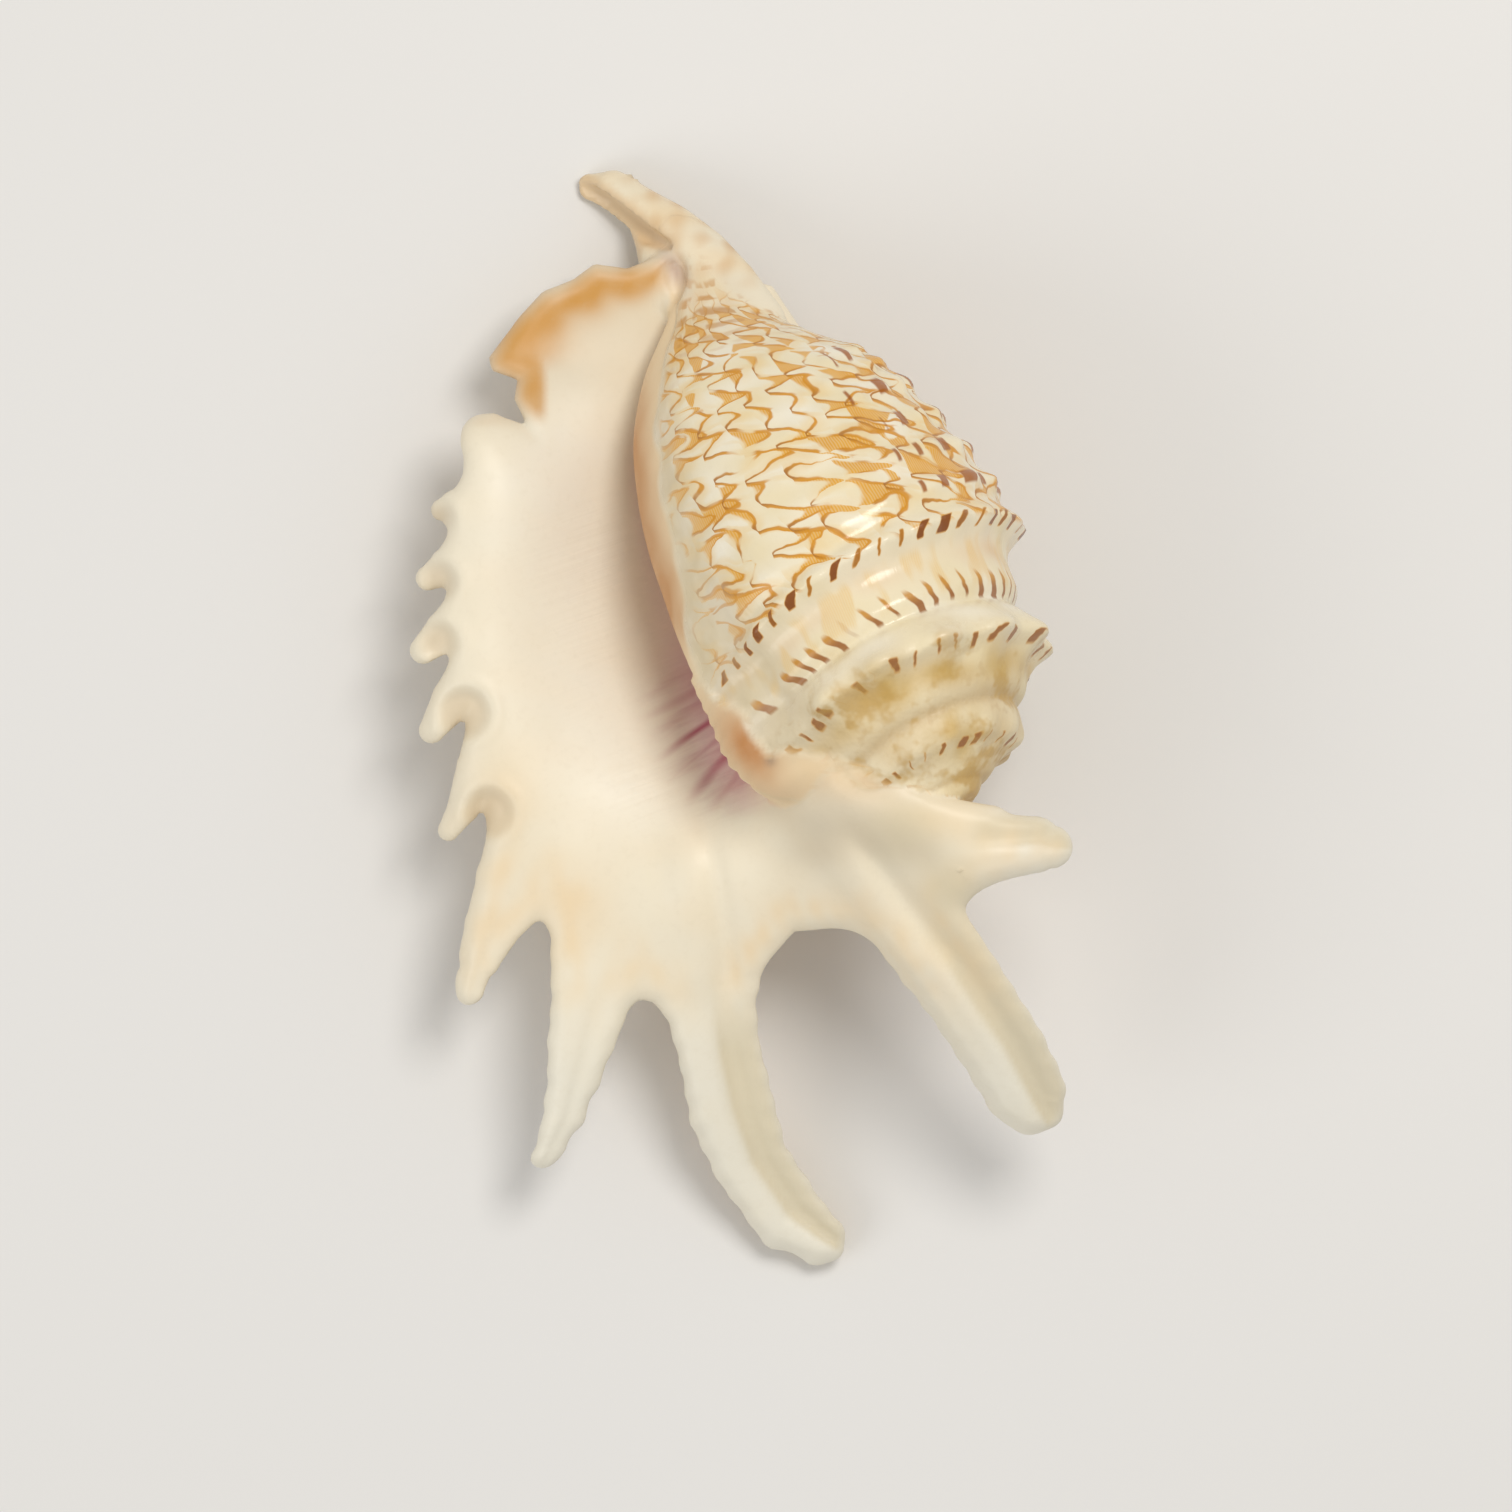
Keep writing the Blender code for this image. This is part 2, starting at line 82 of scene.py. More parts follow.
# Callus of the inner lip, which stands out from the coil on the aperture side
CALLUS = (
    (-2, 0), (6, 8), (11, 19.5), (16, 23.2), (24, 24.3), (37, 24.2), (43, 23.3),
    (49, 22.3), (57.5, 20.2), (67, 15.8), (73.4, 10.8), (79, 6.3), (83, 3.4), (90, 0),
)
# Callus spread over the spire behind the aperture, seen from above
PAD = (
    (-12, 12), (-6.5, 9.3), (-4.9, 7.4), (-1.4, 5.6), (0.1, 2.3), (1.6, 0), (4.1, 0.7),
    (9.7, -0.1), (15, -2.5), (18.4, -4.2), (22, -9), (0, -14), (-16, 0),
)
# Sideways bend of the coil's centre line toward the lip
BEND = (
    (0, 0), (34, 0), (43, -1.1), (49, -1.9), (57.5, -2.8), (67, -4.4), (74, -5.9),
    (80, -5.6), (86, -5), (100, -8),
)
# Share of the radius between one keel (-1) and the next (0), with the suture between
WHORL = (
    (-1, 1), (-0.93, 0.997), (-0.84, 0.975), (-0.74, 0.94), (-0.64, 0.895),
    (-0.57, 0.855), (-0.54, 0.842), (-0.5, 0.866), (-0.42, 0.902), (-0.34, 0.9),
    (-0.25, 0.893), (-0.16, 0.892), (-0.08, 0.912), (-0.035, 0.955), (0, 1),
)
# Nodulose cords in front of the keel, in turns after it
CORDS = (0.228, 0.42, 0.58, 0.735, 0.832, 0.9, 0.953, 1.036, 1.13, 1.22)
# Tubercles on the back of the shoulder: (degrees round the axis, height)
TUBERCLES = ((108, 1.7), (161, 4.4), (212, 3.6))

# Lip seen from above, without its digits
LIP_OUTLINE = (
    (-5, 64), (-12, 66.3), (-17, 64.2), (-21.3, 64.8), (-24, 62.8), (-28, 61.2),
    (-31, 58), (-35, 52.6), (-34.6, 51.2), (-31.2, 50), (-31.6, 47.2), (-30.3, 44.6),
    (-29.2, 41.6), (-31, 43.2), (-34.5, 44.6), (-38, 41), (-38.3, 37.5), (-39.6, 31),
    (-40, 22.5), (-39.6, 13.5), (-37.2, 5.5), (-35, -6.5), (-26.5, -20), (-14, -32),
    (-6, -33), (1, -27), (5, -22.8), (14, -22), (22, -21), (27.4, -18), (31, -14),
    (31, -7.4), (26, -6.2), (18, -2.6), (11.6, 0.8), (16, 10), (16, 30), (10, 50),
    (2, 62),
)
# Digits of the lip, front to back, as (x, y, half width)
SHORT_DIGITS = (
    ((-30, 37, 6), (-36, 42.2, 2.6)),
    ((-36, 33, 4), (-39.5, 32.6, 2.2), (-41.5, 32.5, 1.1)),
    ((-36, 28, 4), (-40.5, 25, 2.3), (-43.3, 23.5, 1.3)),
    ((-36, 20, 4), (-41, 16.5, 2.4), (-43.9, 14, 1.5)),
    ((-35, 13, 4), (-40, 7.5, 2.5), (-42.8, 3.4, 1.4)),
    ((-33, 5, 4.5), (-36.6, -1.5, 2.6), (-38.8, -7, 1.7), (-40.6, -9.8, 1.1)),
)
LONG_DIGITS = (
    ((-28, -10, 7), (-31.5, -16.5, 5.2), (-34.8, -22.5, 3.4), (-36.5, -26.6, 2.5),
     (-37, -28, 1.8), (-37.8, -30.8, 1.6)),
    ((-19.5, -22, 7.5), (-21.6, -31, 5.2), (-23.6, -40, 3.6), (-25.4, -47.5, 2.3),
     (-28, -53, 1.3)),
    ((-8, -22, 8), (-6.2, -31, 6), (-5, -39, 5.1), (-3.2, -47, 5.3), (-0.6, -54, 4.7),
     (4.2, -61, 4.4), (8.4, -64, 3.2)),
    ((17, -16, 6.5), (22, -23.2, 5.6), (27.5, -31.1, 5.3), (32.6, -38.6, 5.2),
     (35.6, -44.2, 4.9), (36.4, -45.6, 4)),
    ((25, -12.5, 5), (32, -11.9, 4), (36.4, -11.6, 3.4), (38.6, -11.9, 2.5)),
)
GROOVES = (0.3, 0.35, 1, 1, 0.5)  # depth of each long digit's groove
# Hollows where the margin rolls down between the digits: (x, y, radius)
HOLLOWS = (
    (-41.8, 31.6, 1.8), (-42, 23.2, 2.4), (-42, 15.2, 2.4), (-38.4, 5.6, 3.3),
    (-35.2, -7.5, 3.1),
)
# Folds on the lip's face that run on into the long digits, as (x, y, 1)
FOLDS = (
    ((-9.2, -4, 1), (-7.4, -14, 1), (-6, -24, 1), (-5.2, -34, 1)),
    ((8, -8, 1), (14.5, -15, 1), (20, -22.5, 1), (25, -30, 1)),
)
# Ridges on the lip's back, each from the body to the foot of a digit
RIDGES = (
    ((0, 50), (-15, 47), (-30, 41)), ((1, 43), (-18, 38), (-38, 32.8)),
    ((2, 38), (-18, 30), (-39, 25)), ((2, 33), (-18, 22), (-40, 17)),
    ((2, 29), (-18, 13), (-39, 8)), ((3, 25), (-16, 4), (-36, -3)),
    ((4, 22), (-12, -4), (-31, -15.5)), ((6, 18), (-6, -8), (-19.5, -22)),
    ((9, 14), (0, -8), (-7, -24)), ((15, 4), (16, -10), (20, -20)),
    ((18, 6), (22, -8), (32, -11.8)),
)
# Height of the lip's middle surface: (x, y, z)
LIP_HEIGHTS = (
    (-35, 51.5, 15), (-30, 59, 14), (-22, 64, 13), (-13, 66, 12), (-25, 52, 13),
    (-18, 56, 11), (-11, 60, 10), (-14, 48, 10), (-22, 46, 14), (-29, 43, 18),
    (-5, 64, 10), (-14, 40, 9.5), (-13.5, 30, 9.5), (-12.5, 20, 10), (-11, 11, 12),
    (-7.5, 3, 15.5), (-4, -3, 20), (-21, 38, 14), (-21, 28, 14.5), (-20, 18, 15.5),
    (-18, 8, 17), (-14, -3, 20), (-28, 36, 20), (-28, 26, 20), (-28, 15, 20.5),
    (-26, 3, 21.5), (-23, -9, 22.5), (-36, 41, 22.5), (-38, 32, 23.5), (-39, 23, 23.5),
    (-39, 13, 23.5), (-37, 3, 23.5), (-33, -6, 23.5), (-30, -16, 22.5), (-20, -26, 22),
    (-12, -20, 24), (-5, -13, 26), (-3, -25, 22.5), (-6, -33, 19), (-5, -40, 16),
    (-3, -47, 13), (0, -54, 9.6), (4, -61, 6.6), (8.5, -65, 5.1), (-23, -38, 21),
    (-26, -48, 18), (-28, -53, 16), (-36, -25, 20.5), (-38, -31, 19), (-38, -6, 21.5),
    (-41, -10, 19), (-43, 3, 20.5), (-44, 14, 20.5), (-43.5, 23.4, 20.5),
    (-41.6, 32.6, 21), (-36.5, 43, 21), (2, -3, 31), (4, -10, 32), (4, -19, 28),
    (11, -1, 46), (13, -9, 41.5), (14, -18, 36), (18, -4, 47.5), (22, -13, 44),
    (26, -8, 47), (32, -11.5, 46.5), (40, -12, 44), (22, -23.5, 37), (27.5, -31, 34),
    (31.5, -37.5, 30), (35, -44, 26), (36.5, -46.5, 24), (2, 55, 7), (2, 45, 6.5),
    (3, 33, 7.5), (5, 22, 11), (2, 12, 15), (12, 10, 20), (14, 25, 12), (14, 2, 34),
)
# Thickness over and under the middle surface, and width of the rounded edge
LIP_UPPER = 1.7
LIP_LOWER = 1.8
LIP_EDGE = 2.3
HOLLOW_DEPTH = 1.4
PLATE_SLACK = 6

# Siphonal canal: (x, y, z, radius)
CANAL = (
    (-0.6, 57, 16, 4.6), (-3.6, 62.2, 13, 3.9), (-6.8, 66.4, 11, 3.4),
    (-10.9, 69.6, 9, 3.3), (-15, 72.3, 7, 3), (-19, 75, 5, 2.8), (-22, 75.6, 3.6, 1.8),
)
CANAL_WEB = ((-14.4, 70.4, 7, 2.1), (-13, 65.8, 8.5, 2.6), (-9.5, 60, 11.5, 3))
# Open trough along the canal's left side
TROUGH = (
    (-11.5, 67.6, 12.4, 0.6), (-14.4, 69.2, 9.6, 1.4), (-16.9, 70.9, 8, 1.7),
    (-20.2, 73.2, 6.3, 1.8), (-23.6, 75, 4.9, 1.6), (-26, 76, 4.2, 1.4),
)
# Narrow end of the aperture, between the front lobe and the canal's foot
SLOT = ((-11.4, 66.4, 14.4, 0.5), (-10.8, 64.4, 14.0, 1.4), (-10.4, 61.5, 14, 1.3))

GRID = 0.62
GRID_LOW = (-48, -71, -2)
GRID_HIGH = (45, 80, 62)
FILL_PASSES = 8
JUST_INSIDE = -0.05
PROBE = 0.05  # half step for slopes
SETTLE_STEPS = 2
SETTLE_REACH = 0.25
COIL_SLOPE = 0.9  # keeps the coil's field from overstating distance
RIPPLE_WAVES = 7
FULL_TURN = 6.28


def axis_frame():
    """The axis, the direction across it that faces up, and the one to the right."""
    sideways = np.cos(AXIS_DOWN)
    along = np.array((
        -np.sin(AXIS_LEFT) * sideways,
        np.cos(AXIS_LEFT) * sideways,
        -np.sin(AXIS_DOWN),
    ))
    up = np.array((0.0, 0.0, 1.0)) - along * along[2]
    up /= np.linalg.norm(up)
    return along, up, np.cross(along, up)


ALONG, UP, RIGHT = axis_frame()


def step(start, end, x):
    u = np.clip((x - start) / (end - start), 0, 1)
    return u * u * (3 - 2 * u)


def bell(x, width):
    return np.exp(-(x / width) ** 2)


def curve(points, x):
    """A smooth curve through the points, held level past its ends."""
    xs, ys = np.array(points, float).T
    slopes = np.gradient(ys, xs)
    x = np.clip(x, xs[0], xs[-1])
    i = np.clip(np.searchsorted(xs, x, side="right") - 1, 0, len(xs) - 2)
    width = xs[i + 1] - xs[i]
    u = (x - xs[i]) / width
    rise = u * u * (3 - 2 * u)
    bulge = u * (1 - u)
    ends = ys[i] + (ys[i + 1] - ys[i]) * rise
    return ends + bulge * width * (slopes[i] * (1 - u) - slopes[i + 1] * u)


def join(a, b, reach):
    """Union of two solids with a fillet."""
    h = np.clip(0.5 + 0.5 * (b - a) / reach, 0, 1)
    return b + (a - b) * h - reach * h * (1 - h)


def cut(a, b, reach):
    """The first solid less the second, with a rounded edge."""
    return -join(-a, b, reach)


def around_axis(x, y, z):
    d = (x - APEX[0], y - APEX[1], z - APEX[2])
    return [sum(d[i] * v[i] for i in range(3)) for v in (ALONG, UP, RIGHT)]


def keel_turn(height):
    """The turn, in front of the axis, whose keel is at each height."""
    return curve(KEEL, np.log(np.maximum(height, TIP_HEIGHT)))


def coil(x, y, z):
    """The spire and body whorl, as a radius that varies along and round the axis."""
    height, up, right = around_axis(x, y, z)
    right = right - curve(BEND, height)
    round_axis = np.arctan2(right, up)
    grown = np.where(round_axis < SEAM, round_axis + 2 * np.pi, round_axis)
    degrees = np.degrees(grown)
    turns = keel_turn(height) - grown / (2 * np.pi)
    between = np.where(turns < 0, turns - np.ceil(turns), 0)
    share = np.where(turns < 0, curve(WHORL, between), 1)
    glaze = step(-20, -70, degrees) * step(34, 28, height)
    share = share + (0.95 - share) * 0.55 * glaze
    radius = curve(COIL, height) * share

    # Keel with its knobs, which are stronger on the older whorls
    older = step(-0.25, -0.6, turns)
    knobs = older * 1.7 * (0.5 + 0.5 * np.cos(13 * grown + 0.9))
    beads = (1 - older) * 0.5 * (0.5 + 0.5 * np.cos(24 * grown))
    keel = bell(turns - np.round(turns), 0.08 + 0.12 * older) * (turns < 0.5)
    keel = keel * np.clip(height / 16, 0, 1) * (1 - 0.6 * glaze)
    radius = radius + keel * (0.4 - 0.3 * older + knobs + beads)
    radius = radius - 0.5 * bell(turns - 0.12, 0.05)

    # The last half turn swells into the back of the lip and carries the tubercles
    radius = radius * (1 + 0.13 * step(110, 190, degrees) * step(10, 26, height))
    for angle, tall in TUBERCLES:
        spot = bell(degrees - angle, 17.2) * bell(turns - 0.02, 0.17)
        radius = radius + tall * spot

    # Cords, faint near the aperture and beaded toward the back
    away = step(-20, 80, degrees)
    for i, cord in enumerate(CORDS):
        beads = 0.55 + 0.45 * np.cos((18 + 2 * i) * grown + 1.7 * i)
        strength = 1.3 if cord < 0.94 else 0.4
        width = 0.05 if cord < 0.8 else 0.035
        shape = bell(turns - cord, width) * step(96, 80, height)
        radius = radius + (0.12 + strength * away * beads) * shape

    # Callus edge, and the wall that draws in behind it toward the throat
    degrees = np.degrees(round_axis)
    flare = step(-52, -88, degrees) * step(-150, -88, degrees)
    scallop = 0.22 * np.cos(2.9 * height) * bell(height - 19, 9)
    radius = radius + (np.maximum(curve(CALLUS, height) - radius, 0) + scallop) * flare
    pad = step(0.6, -0.6, outline_distance(PAD, x, y)) * step(-2, 2, up)
    radius = radius + 0.6 * pad
    throat = step(-84, -128, degrees) * step(-180, -152, degrees)
    radius = radius * (1 - 0.2 * throat * step(12, 24, height))
    return (np.hypot(right, up) - radius) * COIL_SLOPE


def outline_distance(points, x, y):
    """Distance to a closed outline, below zero inside it."""
    nearest = np.full(x.shape, 1e9)
    inside = np.zeros(x.shape, bool)
    for (ax, ay), (bx, by) in zip(points, points[1:] + points[:1]):
        ex, ey = bx - ax, by - ay
        wx, wy = x - ax, y - ay
        t = np.clip((wx * ex + wy * ey) / (ex * ex + ey * ey), 0, 1)
        nearest = np.minimum(nearest, np.hypot(wx - ex * t, wy - ey * t))
        if ey:
            crosses = (ay <= y) != (by <= y)
            inside ^= crosses & (x < ax + wy * ex / ey)
    return np.where(inside, -nearest, nearest)


def digit_distance(path, x, y):
    """Distance to a tapering digit, place across it (-1 to 1), share of its length."""
    nearest = np.full(x.shape, 1e9)
    across = np.zeros(x.shape)
    along = np.zeros(x.shape)
    length = 0
    for (ax, ay, ar), (bx, by, br) in zip(path, path[1:]):
        ex, ey = bx - ax, by - ay
        leg = np.hypot(ex, ey)
        t = np.clip(((x - ax) * ex + (y - ay) * ey) / leg ** 2, 0, 1)
        half = ar + (br - ar) * t
        d = np.hypot(x - ax - ex * t, y - ay - ey * t) - half
        near = d < nearest
        across = np.where(near, ((x - ax) * ey - (y - ay) * ex) / leg / half, across)
        along = np.where(near, length + leg * t, along)
        nearest = np.where(near, d, nearest)
        length += leg
    return nearest, across, along / length


def path_distance(path, x, y):
    return digit_distance([(a, b, 1e-4) for a, b in path], x, y)[0]


def plate_weights():
    """Weights of the thin plate that passes close to LIP_HEIGHTS."""
    p = np.array(LIP_HEIGHTS, float)
    n = len(p)
    d = np.hypot(p[:, None, 0] - p[None, :, 0], p[:, None, 1] - p[None, :, 1])
    a = np.zeros((n + 3, n + 3))
    a[:n, :n] = d * d * np.log(np.maximum(d, 1e-9)) + np.eye(n) * PLATE_SLACK
    a[:n, n] = 1
    a[:n, n + 1:] = p[:, :2]
    a[n:, :n] = a[:n, n:].T
    return np.linalg.solve(a, np.concatenate([p[:, 2], np.zeros(3)]))


PLATE = plate_weights()


def lip_height(x, y):
    total = PLATE[-3] + PLATE[-2] * x + PLATE[-1] * y
    for (a, b, _), weight in zip(LIP_HEIGHTS, PLATE):
        r2 = (x - a) ** 2 + (y - b) ** 2 + 1e-12
        total = total + weight * 0.5 * r2 * np.log(r2)
    return total


def lip_plan(x, y):
    """What the lip has at each place seen from above: edge, height, slope, thickness."""
    edge = outline_distance(LIP_OUTLINE, x, y)
    upper = np.full(x.shape, LIP_UPPER)
    lower = np.full(x.shape, LIP_LOWER)
    digits = [(path, 1.6, 0) for path in SHORT_DIGITS]
    digits += [(path, 3.2, deep) for path, deep in zip(LONG_DIGITS, GROOVES)]
    for path, fillet, deep in digits:
        d, across, along = digit_distance(path, x, y)
        edge = join(edge, d, fillet)
        on = step(1, -1.5, d) * step(0.05, 0.45, along)
        upper = upper + on * deep * 0.8 * step(-0.2, 0.3, across)
        upper = upper - on * deep * 0.8 * bell(across + 0.32, 0.3)
        lower = lower + on * 1.2 * bell(across, 0.6)
    wavy = np.sin(1.1 * y + 0.5 * x) * np.sin(0.53 * y - 0.9 * x)
    edge = edge - 0.35 + 0.22 * wavy * step(-20, -30, y)
    for path in FOLDS:
        d, across, along = digit_distance(path, x, y)
        on = step(6, 2, d) * step(0, 0.35, along) * step(1, 0.8, along)
        upper = upper + on * (0.7 * bell(across - 2.2, 2.8) - 0.7 * bell(across + 1.8, 1.6))
    for path in RIDGES:
        ridge = bell(path_distance(path, x, y), 1.5)
        lower = lower + 0.9 * ridge * step(0, -3, edge)
    fall = np.zeros(x.shape)
    for a, b, reach in HOLLOWS:
        d = np.hypot(x - a, y - b) - reach
        fall = np.maximum(fall, step(0.7, -1.5, d))
        upper = upper + 0.25 * bell(d - 1, 0.8)
    e = PROBE
    slope_x = (lip_height(x + e, y) - lip_height(x - e, y)) / (2 * e)
    slope_y = (lip_height(x, y + e) - lip_height(x, y - e)) / (2 * e)
    level = 1 / np.sqrt(1 + slope_x ** 2 + slope_y ** 2)
    return edge, lip_height(x, y) - HOLLOW_DEPTH * fall, level, upper, lower


def lip(plan, z):
    """The flared lip, a plate with a rounded edge."""
    edge, height, level, upper, lower = plan
    off = (z - height) * level
    thick = np.where(off > 0, upper, lower)
    inward = np.maximum(LIP_EDGE + edge, 0) / LIP_EDGE
    g = np.hypot(inward, off / thick)
    slope = np.hypot(inward / LIP_EDGE, off / thick ** 2) / np.maximum(g, 1e-6)
    return (g - 1) / np.maximum(slope, 0.25)


def tube(path, x, y, z):
    nearest = np.full(np.shape(x), 1e9)
    for a, b in zip(path, path[1:]):
        e = [b[i] - a[i] for i in range(3)]
        w = (x - a[0], y - a[1], z - a[2])
        t = np.clip(sum(w[i] * e[i] for i in range(3)) / sum(v * v for v in e), 0, 1)
        d = np.sqrt(sum((w[i] - e[i] * t) ** 2 for i in range(3)))
        nearest = np.minimum(nearest, d - (a[3] + (b[3] - a[3]) * t))
    return nearest


def shell(x, y, z, plan):
    """The whole solid, below zero inside."""
    _, up, right = around_axis(x, y, z)
    back = step(140, 172, np.abs(np.degrees(np.arctan2(right, up))))
    solid = join(coil(x, y, z), lip(plan, z), 1.6 + 4.4 * back)
    solid = join(solid, tube(CANAL, x, y, z), 2)
    solid = join(solid, tube(CANAL_WEB, x, y, z), 1.5)
    solid = cut(solid, tube(TROUGH, x, y, z), 0.8)
    return cut(solid, tube(SLOT, x, y, z), 1.5)


def sampled():
    """The solid on a grid, with cells that touch only at an edge filled in."""
    axes = [np.arange(a, b + GRID, GRID) for a, b in zip(GRID_LOW, GRID_HIGH)]
    x, y = np.meshgrid(axes[0], axes[1], indexing="ij")
    plan = lip_plan(x, y)
    layers = [shell(x, y, np.full(x.shape, z), plan) for z in axes[2]]
    field = np.stack(layers, axis=2)
    for _ in range(FILL_PASSES):
        for a, b in ((0, 1), (0, 2), (1, 2)):
            view = np.moveaxis(field, (a, b), (0, 1))
            c = [view[:-1, :-1], view[1:, :-1], view[1:, 1:], view[:-1, 1:]]
            inside = [v < 0 for v in c]
            odd = (inside[0] == inside[2]) & (inside[1] == inside[3])
            odd &= inside[0] != inside[1]
            for v in c:
                v[odd & (v >= 0)] = JUST_INSIDE
    return axes, field


def mesh_of(axes, field):
    """One vertex in each cell that the surface crosses, one quad at each crossed edge."""
    inside = field < 0
    size = [n - 1 for n in field.shape]
    corners = [(i, j, k) for i in (0, 1) for j in (0, 1) for k in (0, 1)]
    count = np.zeros(size, int)
    for i, j, k in corners:
        count += inside[i:i + size[0], j:j + size[1], k:k + size[2]]
    cells = np.array(np.nonzero((count > 0) & (count < 8)))
    number = np.full(size, -1)
    number[tuple(cells)] = np.arange(cells.shape[1])
    total = np.zeros(cells.shape)
    crossings = np.zeros(cells.shape[1])
    for a in corners:
        for b in corners:
            if a >= b or sum(p != q for p, q in zip(a, b)) != 1:
                continue
            fa = field[tuple(cells[i] + a[i] for i in range(3))]
            fb = field[tuple(cells[i] + b[i] for i in range(3))]
            crossed = (fa < 0) != (fb < 0)
            t = np.where(crossed, fa / np.where(crossed, fa - fb, 1), 0)
            for i in range(3):
                total[i] += crossed * (a[i] + (b[i] - a[i]) * t)
            crossings += crossed
    points = [axes[i][0] + GRID * (cells[i] + total[i] / crossings) for i in range(3)]
    quads = []
    for d in range(3):
        u, v = [i for i in range(3) if i != d]
        low = [slice(None)] * 3
        high = [slice(None)] * 3
        low[d] = slice(0, -1)
        high[d] = slice(1, None)
        starts = inside[tuple(low)]
        e = np.array(np.nonzero(starts != inside[tuple(high)]))
        loop = []
        for du, dv in ((0, 0), (-1, 0), (-1, -1), (0, -1)):
            p = e.copy()
            p[u] += du
            p[v] += dv
            loop.append(number[tuple(p)])
        loop = np.stack(loop, axis=1)
        turned = starts[tuple(e)] == (d == 1)
        loop[turned] = loop[turned][:, ::-1]
        quads.append(loop)
    return np.stack(points, axis=1), np.concatenate(quads)



def ripple(x, y, z, size, seed):
    """Smooth irregular waves of about the given size, between -1 and 1."""
    rng = np.random.default_rng(seed)
    total = np.zeros(np.shape(x))
    for _ in range(RIPPLE_WAVES):
        d = rng.normal(size=3)
        d *= rng.uniform(0.7, 1.5) / np.linalg.norm(d)
        phase = rng.uniform(0, FULL_TURN)
        along = x * d[0] + y * d[1] + z * d[2]
        total += np.sin(along * FULL_TURN / size + phase)
    return total / (RIPPLE_WAVES / 2)


def settle(points, quads):
    """Moves each point along its normal onto the solid's surface."""
    for _ in range(SETTLE_STEPS):
        a, b, c, d = (points[quads[:, i]] for i in range(4))
        face = np.cross(c - a, d - b)
        normals = np.zeros_like(points)
        for i in range(4):
            for k in range(3):
                normals[:, k] += np.bincount(quads[:, i], face[:, k], len(points))
        normals /= np.linalg.norm(normals, axis=1)[:, None] + 1e-12
        f = []
        for side in (-PROBE, PROBE):
            x, y, z = (points + normals * side).T
            f.append(shell(x, y, z, lip_plan(x, y)))
        slope = np.maximum((f[1] - f[0]) / (2 * PROBE), 0.35)
        move = np.clip((f[0] + f[1]) / 2 / slope, -SETTLE_REACH, SETTLE_REACH)
        points = points - normals * move[:, None]
    return points


# Colours of the surface, linear
PORCELAIN = (0.87, 0.79, 0.62)
BODY_CREAM = (0.84, 0.73, 0.49)
CALLUS_ORANGE = (0.58, 0.29, 0.11)
MARGIN_ORANGE = (0.62, 0.31, 0.065)
PEACH = (0.86, 0.66, 0.4)
THROAT_PURPLE = (0.52, 0.22, 0.26)
THROAT_SHADE = (0.55, 0.4, 0.3)
OLIVE = (0.6, 0.4, 0.12)
GLAZE_GREY_AND_SHADE = (0.6, 0.5, 0.35)
CANAL_TAN_AND_SHADE = (0.76, 0.55, 0.32)
GROOVE_SHADE = (0.69, 0.6, 0.41)
HOLLOW_SHADE = (0.66, 0.52, 0.34)
DIGIT_WHITE = (0.84, 0.81, 0.7)
GAP_SHADE = (0.46, 0.31, 0.26)
LIP_WHITE = (0.91, 0.87, 0.76)
UNDER_TINT = (0.8, 0.68, 0.46)
PATCH_BROWN = (0.56, 0.25, 0.08)
SPECK_BROWN = (0.2, 0.12, 0.08)
SUTURE_SHADE = (0.5, 0.34, 0.15)
MOTTLE_CREAM = (0.9, 0.8, 0.58)

# Where the patterned skin gives way to the callus: (height, degrees round the axis)
BORDER = (
    (10, -88), (20, -86), (28, -82), (34, -76), (42, -64), (50, -60), (58, -57),
    (66, -53), (74, -50), (80, -56), (90, -60),
)
# Painted shade and soft tints on the lip's face, from above: spots as (x, y, reach, squeeze
# x, squeeze y)
ROOT_SHADE_SPOTS = ((-33, -4.5, 4.5, 1, 1), (-24, -20, 4.5, 1, 1))
FACE_SHADES = (
    (PEACH, 0.55, ((22, -8.5, 2.6, 0.35, 1),)),
    (GROOVE_SHADE, 0.7, ((19, -10, 4, 0.8, 0.8), (25.5, -17.5, 4, 1, 1))),
    (GLAZE_GREY_AND_SHADE, 0.45, ((8.4, -12.4, 2.8, 0.6, 1),)),
    (GLAZE_GREY_AND_SHADE, 0.35, ((-24, 50.5, 4, 0.6, 1),)),
)
# Deep orange on the front lobe, and stains on the spire: (x, y, reach)
LOBE_SPOTS = (
    (-30.5, 54, 5), (-27.5, 57.8, 2.8), (-22, 61, 3), (-16.5, 62.8, 2.4), (-29, 48, 2.2),
)
SPIRE_STAINS = ((16.5, 8.5, 4.2), (26.5, 3, 3.6), (29, -4.5, 3.6), (32, 12, 3))
# Edge of the lip beside the spire, seen from above
REAR_RIM = ((2, -6.5), (12, -11), (22, -12.5))
BODY_RADIUS = 22
RADIAN = 57.3  # in degrees


def paint(colour, *layers):
    """Lays each colour over the one before, by its amount at each point."""
    for shade, amount in layers:
        amount = np.clip(amount, 0, 1)[:, None]
        colour = colour * (1 - amount) + np.array(shade) * amount
    return colour


def spots(x, y, places):
    total = 0
    for a, b, reach, squeeze_x, squeeze_y in places:
        total = total + bell(np.hypot((x - a) * squeeze_x, (y - b) * squeeze_y), reach)
    return total


def slanted_spot(x, y, at, lean, size):
    """A soft oval seen from above, its first size along the lean."""
    dx, dy = x - at[0], y - at[1]
    along = (lean[0] * dx + lean[1] * dy) / size[0]
    across = (lean[1] * dx - lean[0] * dy) / size[1]
    return bell(np.hypot(along, across), 1)


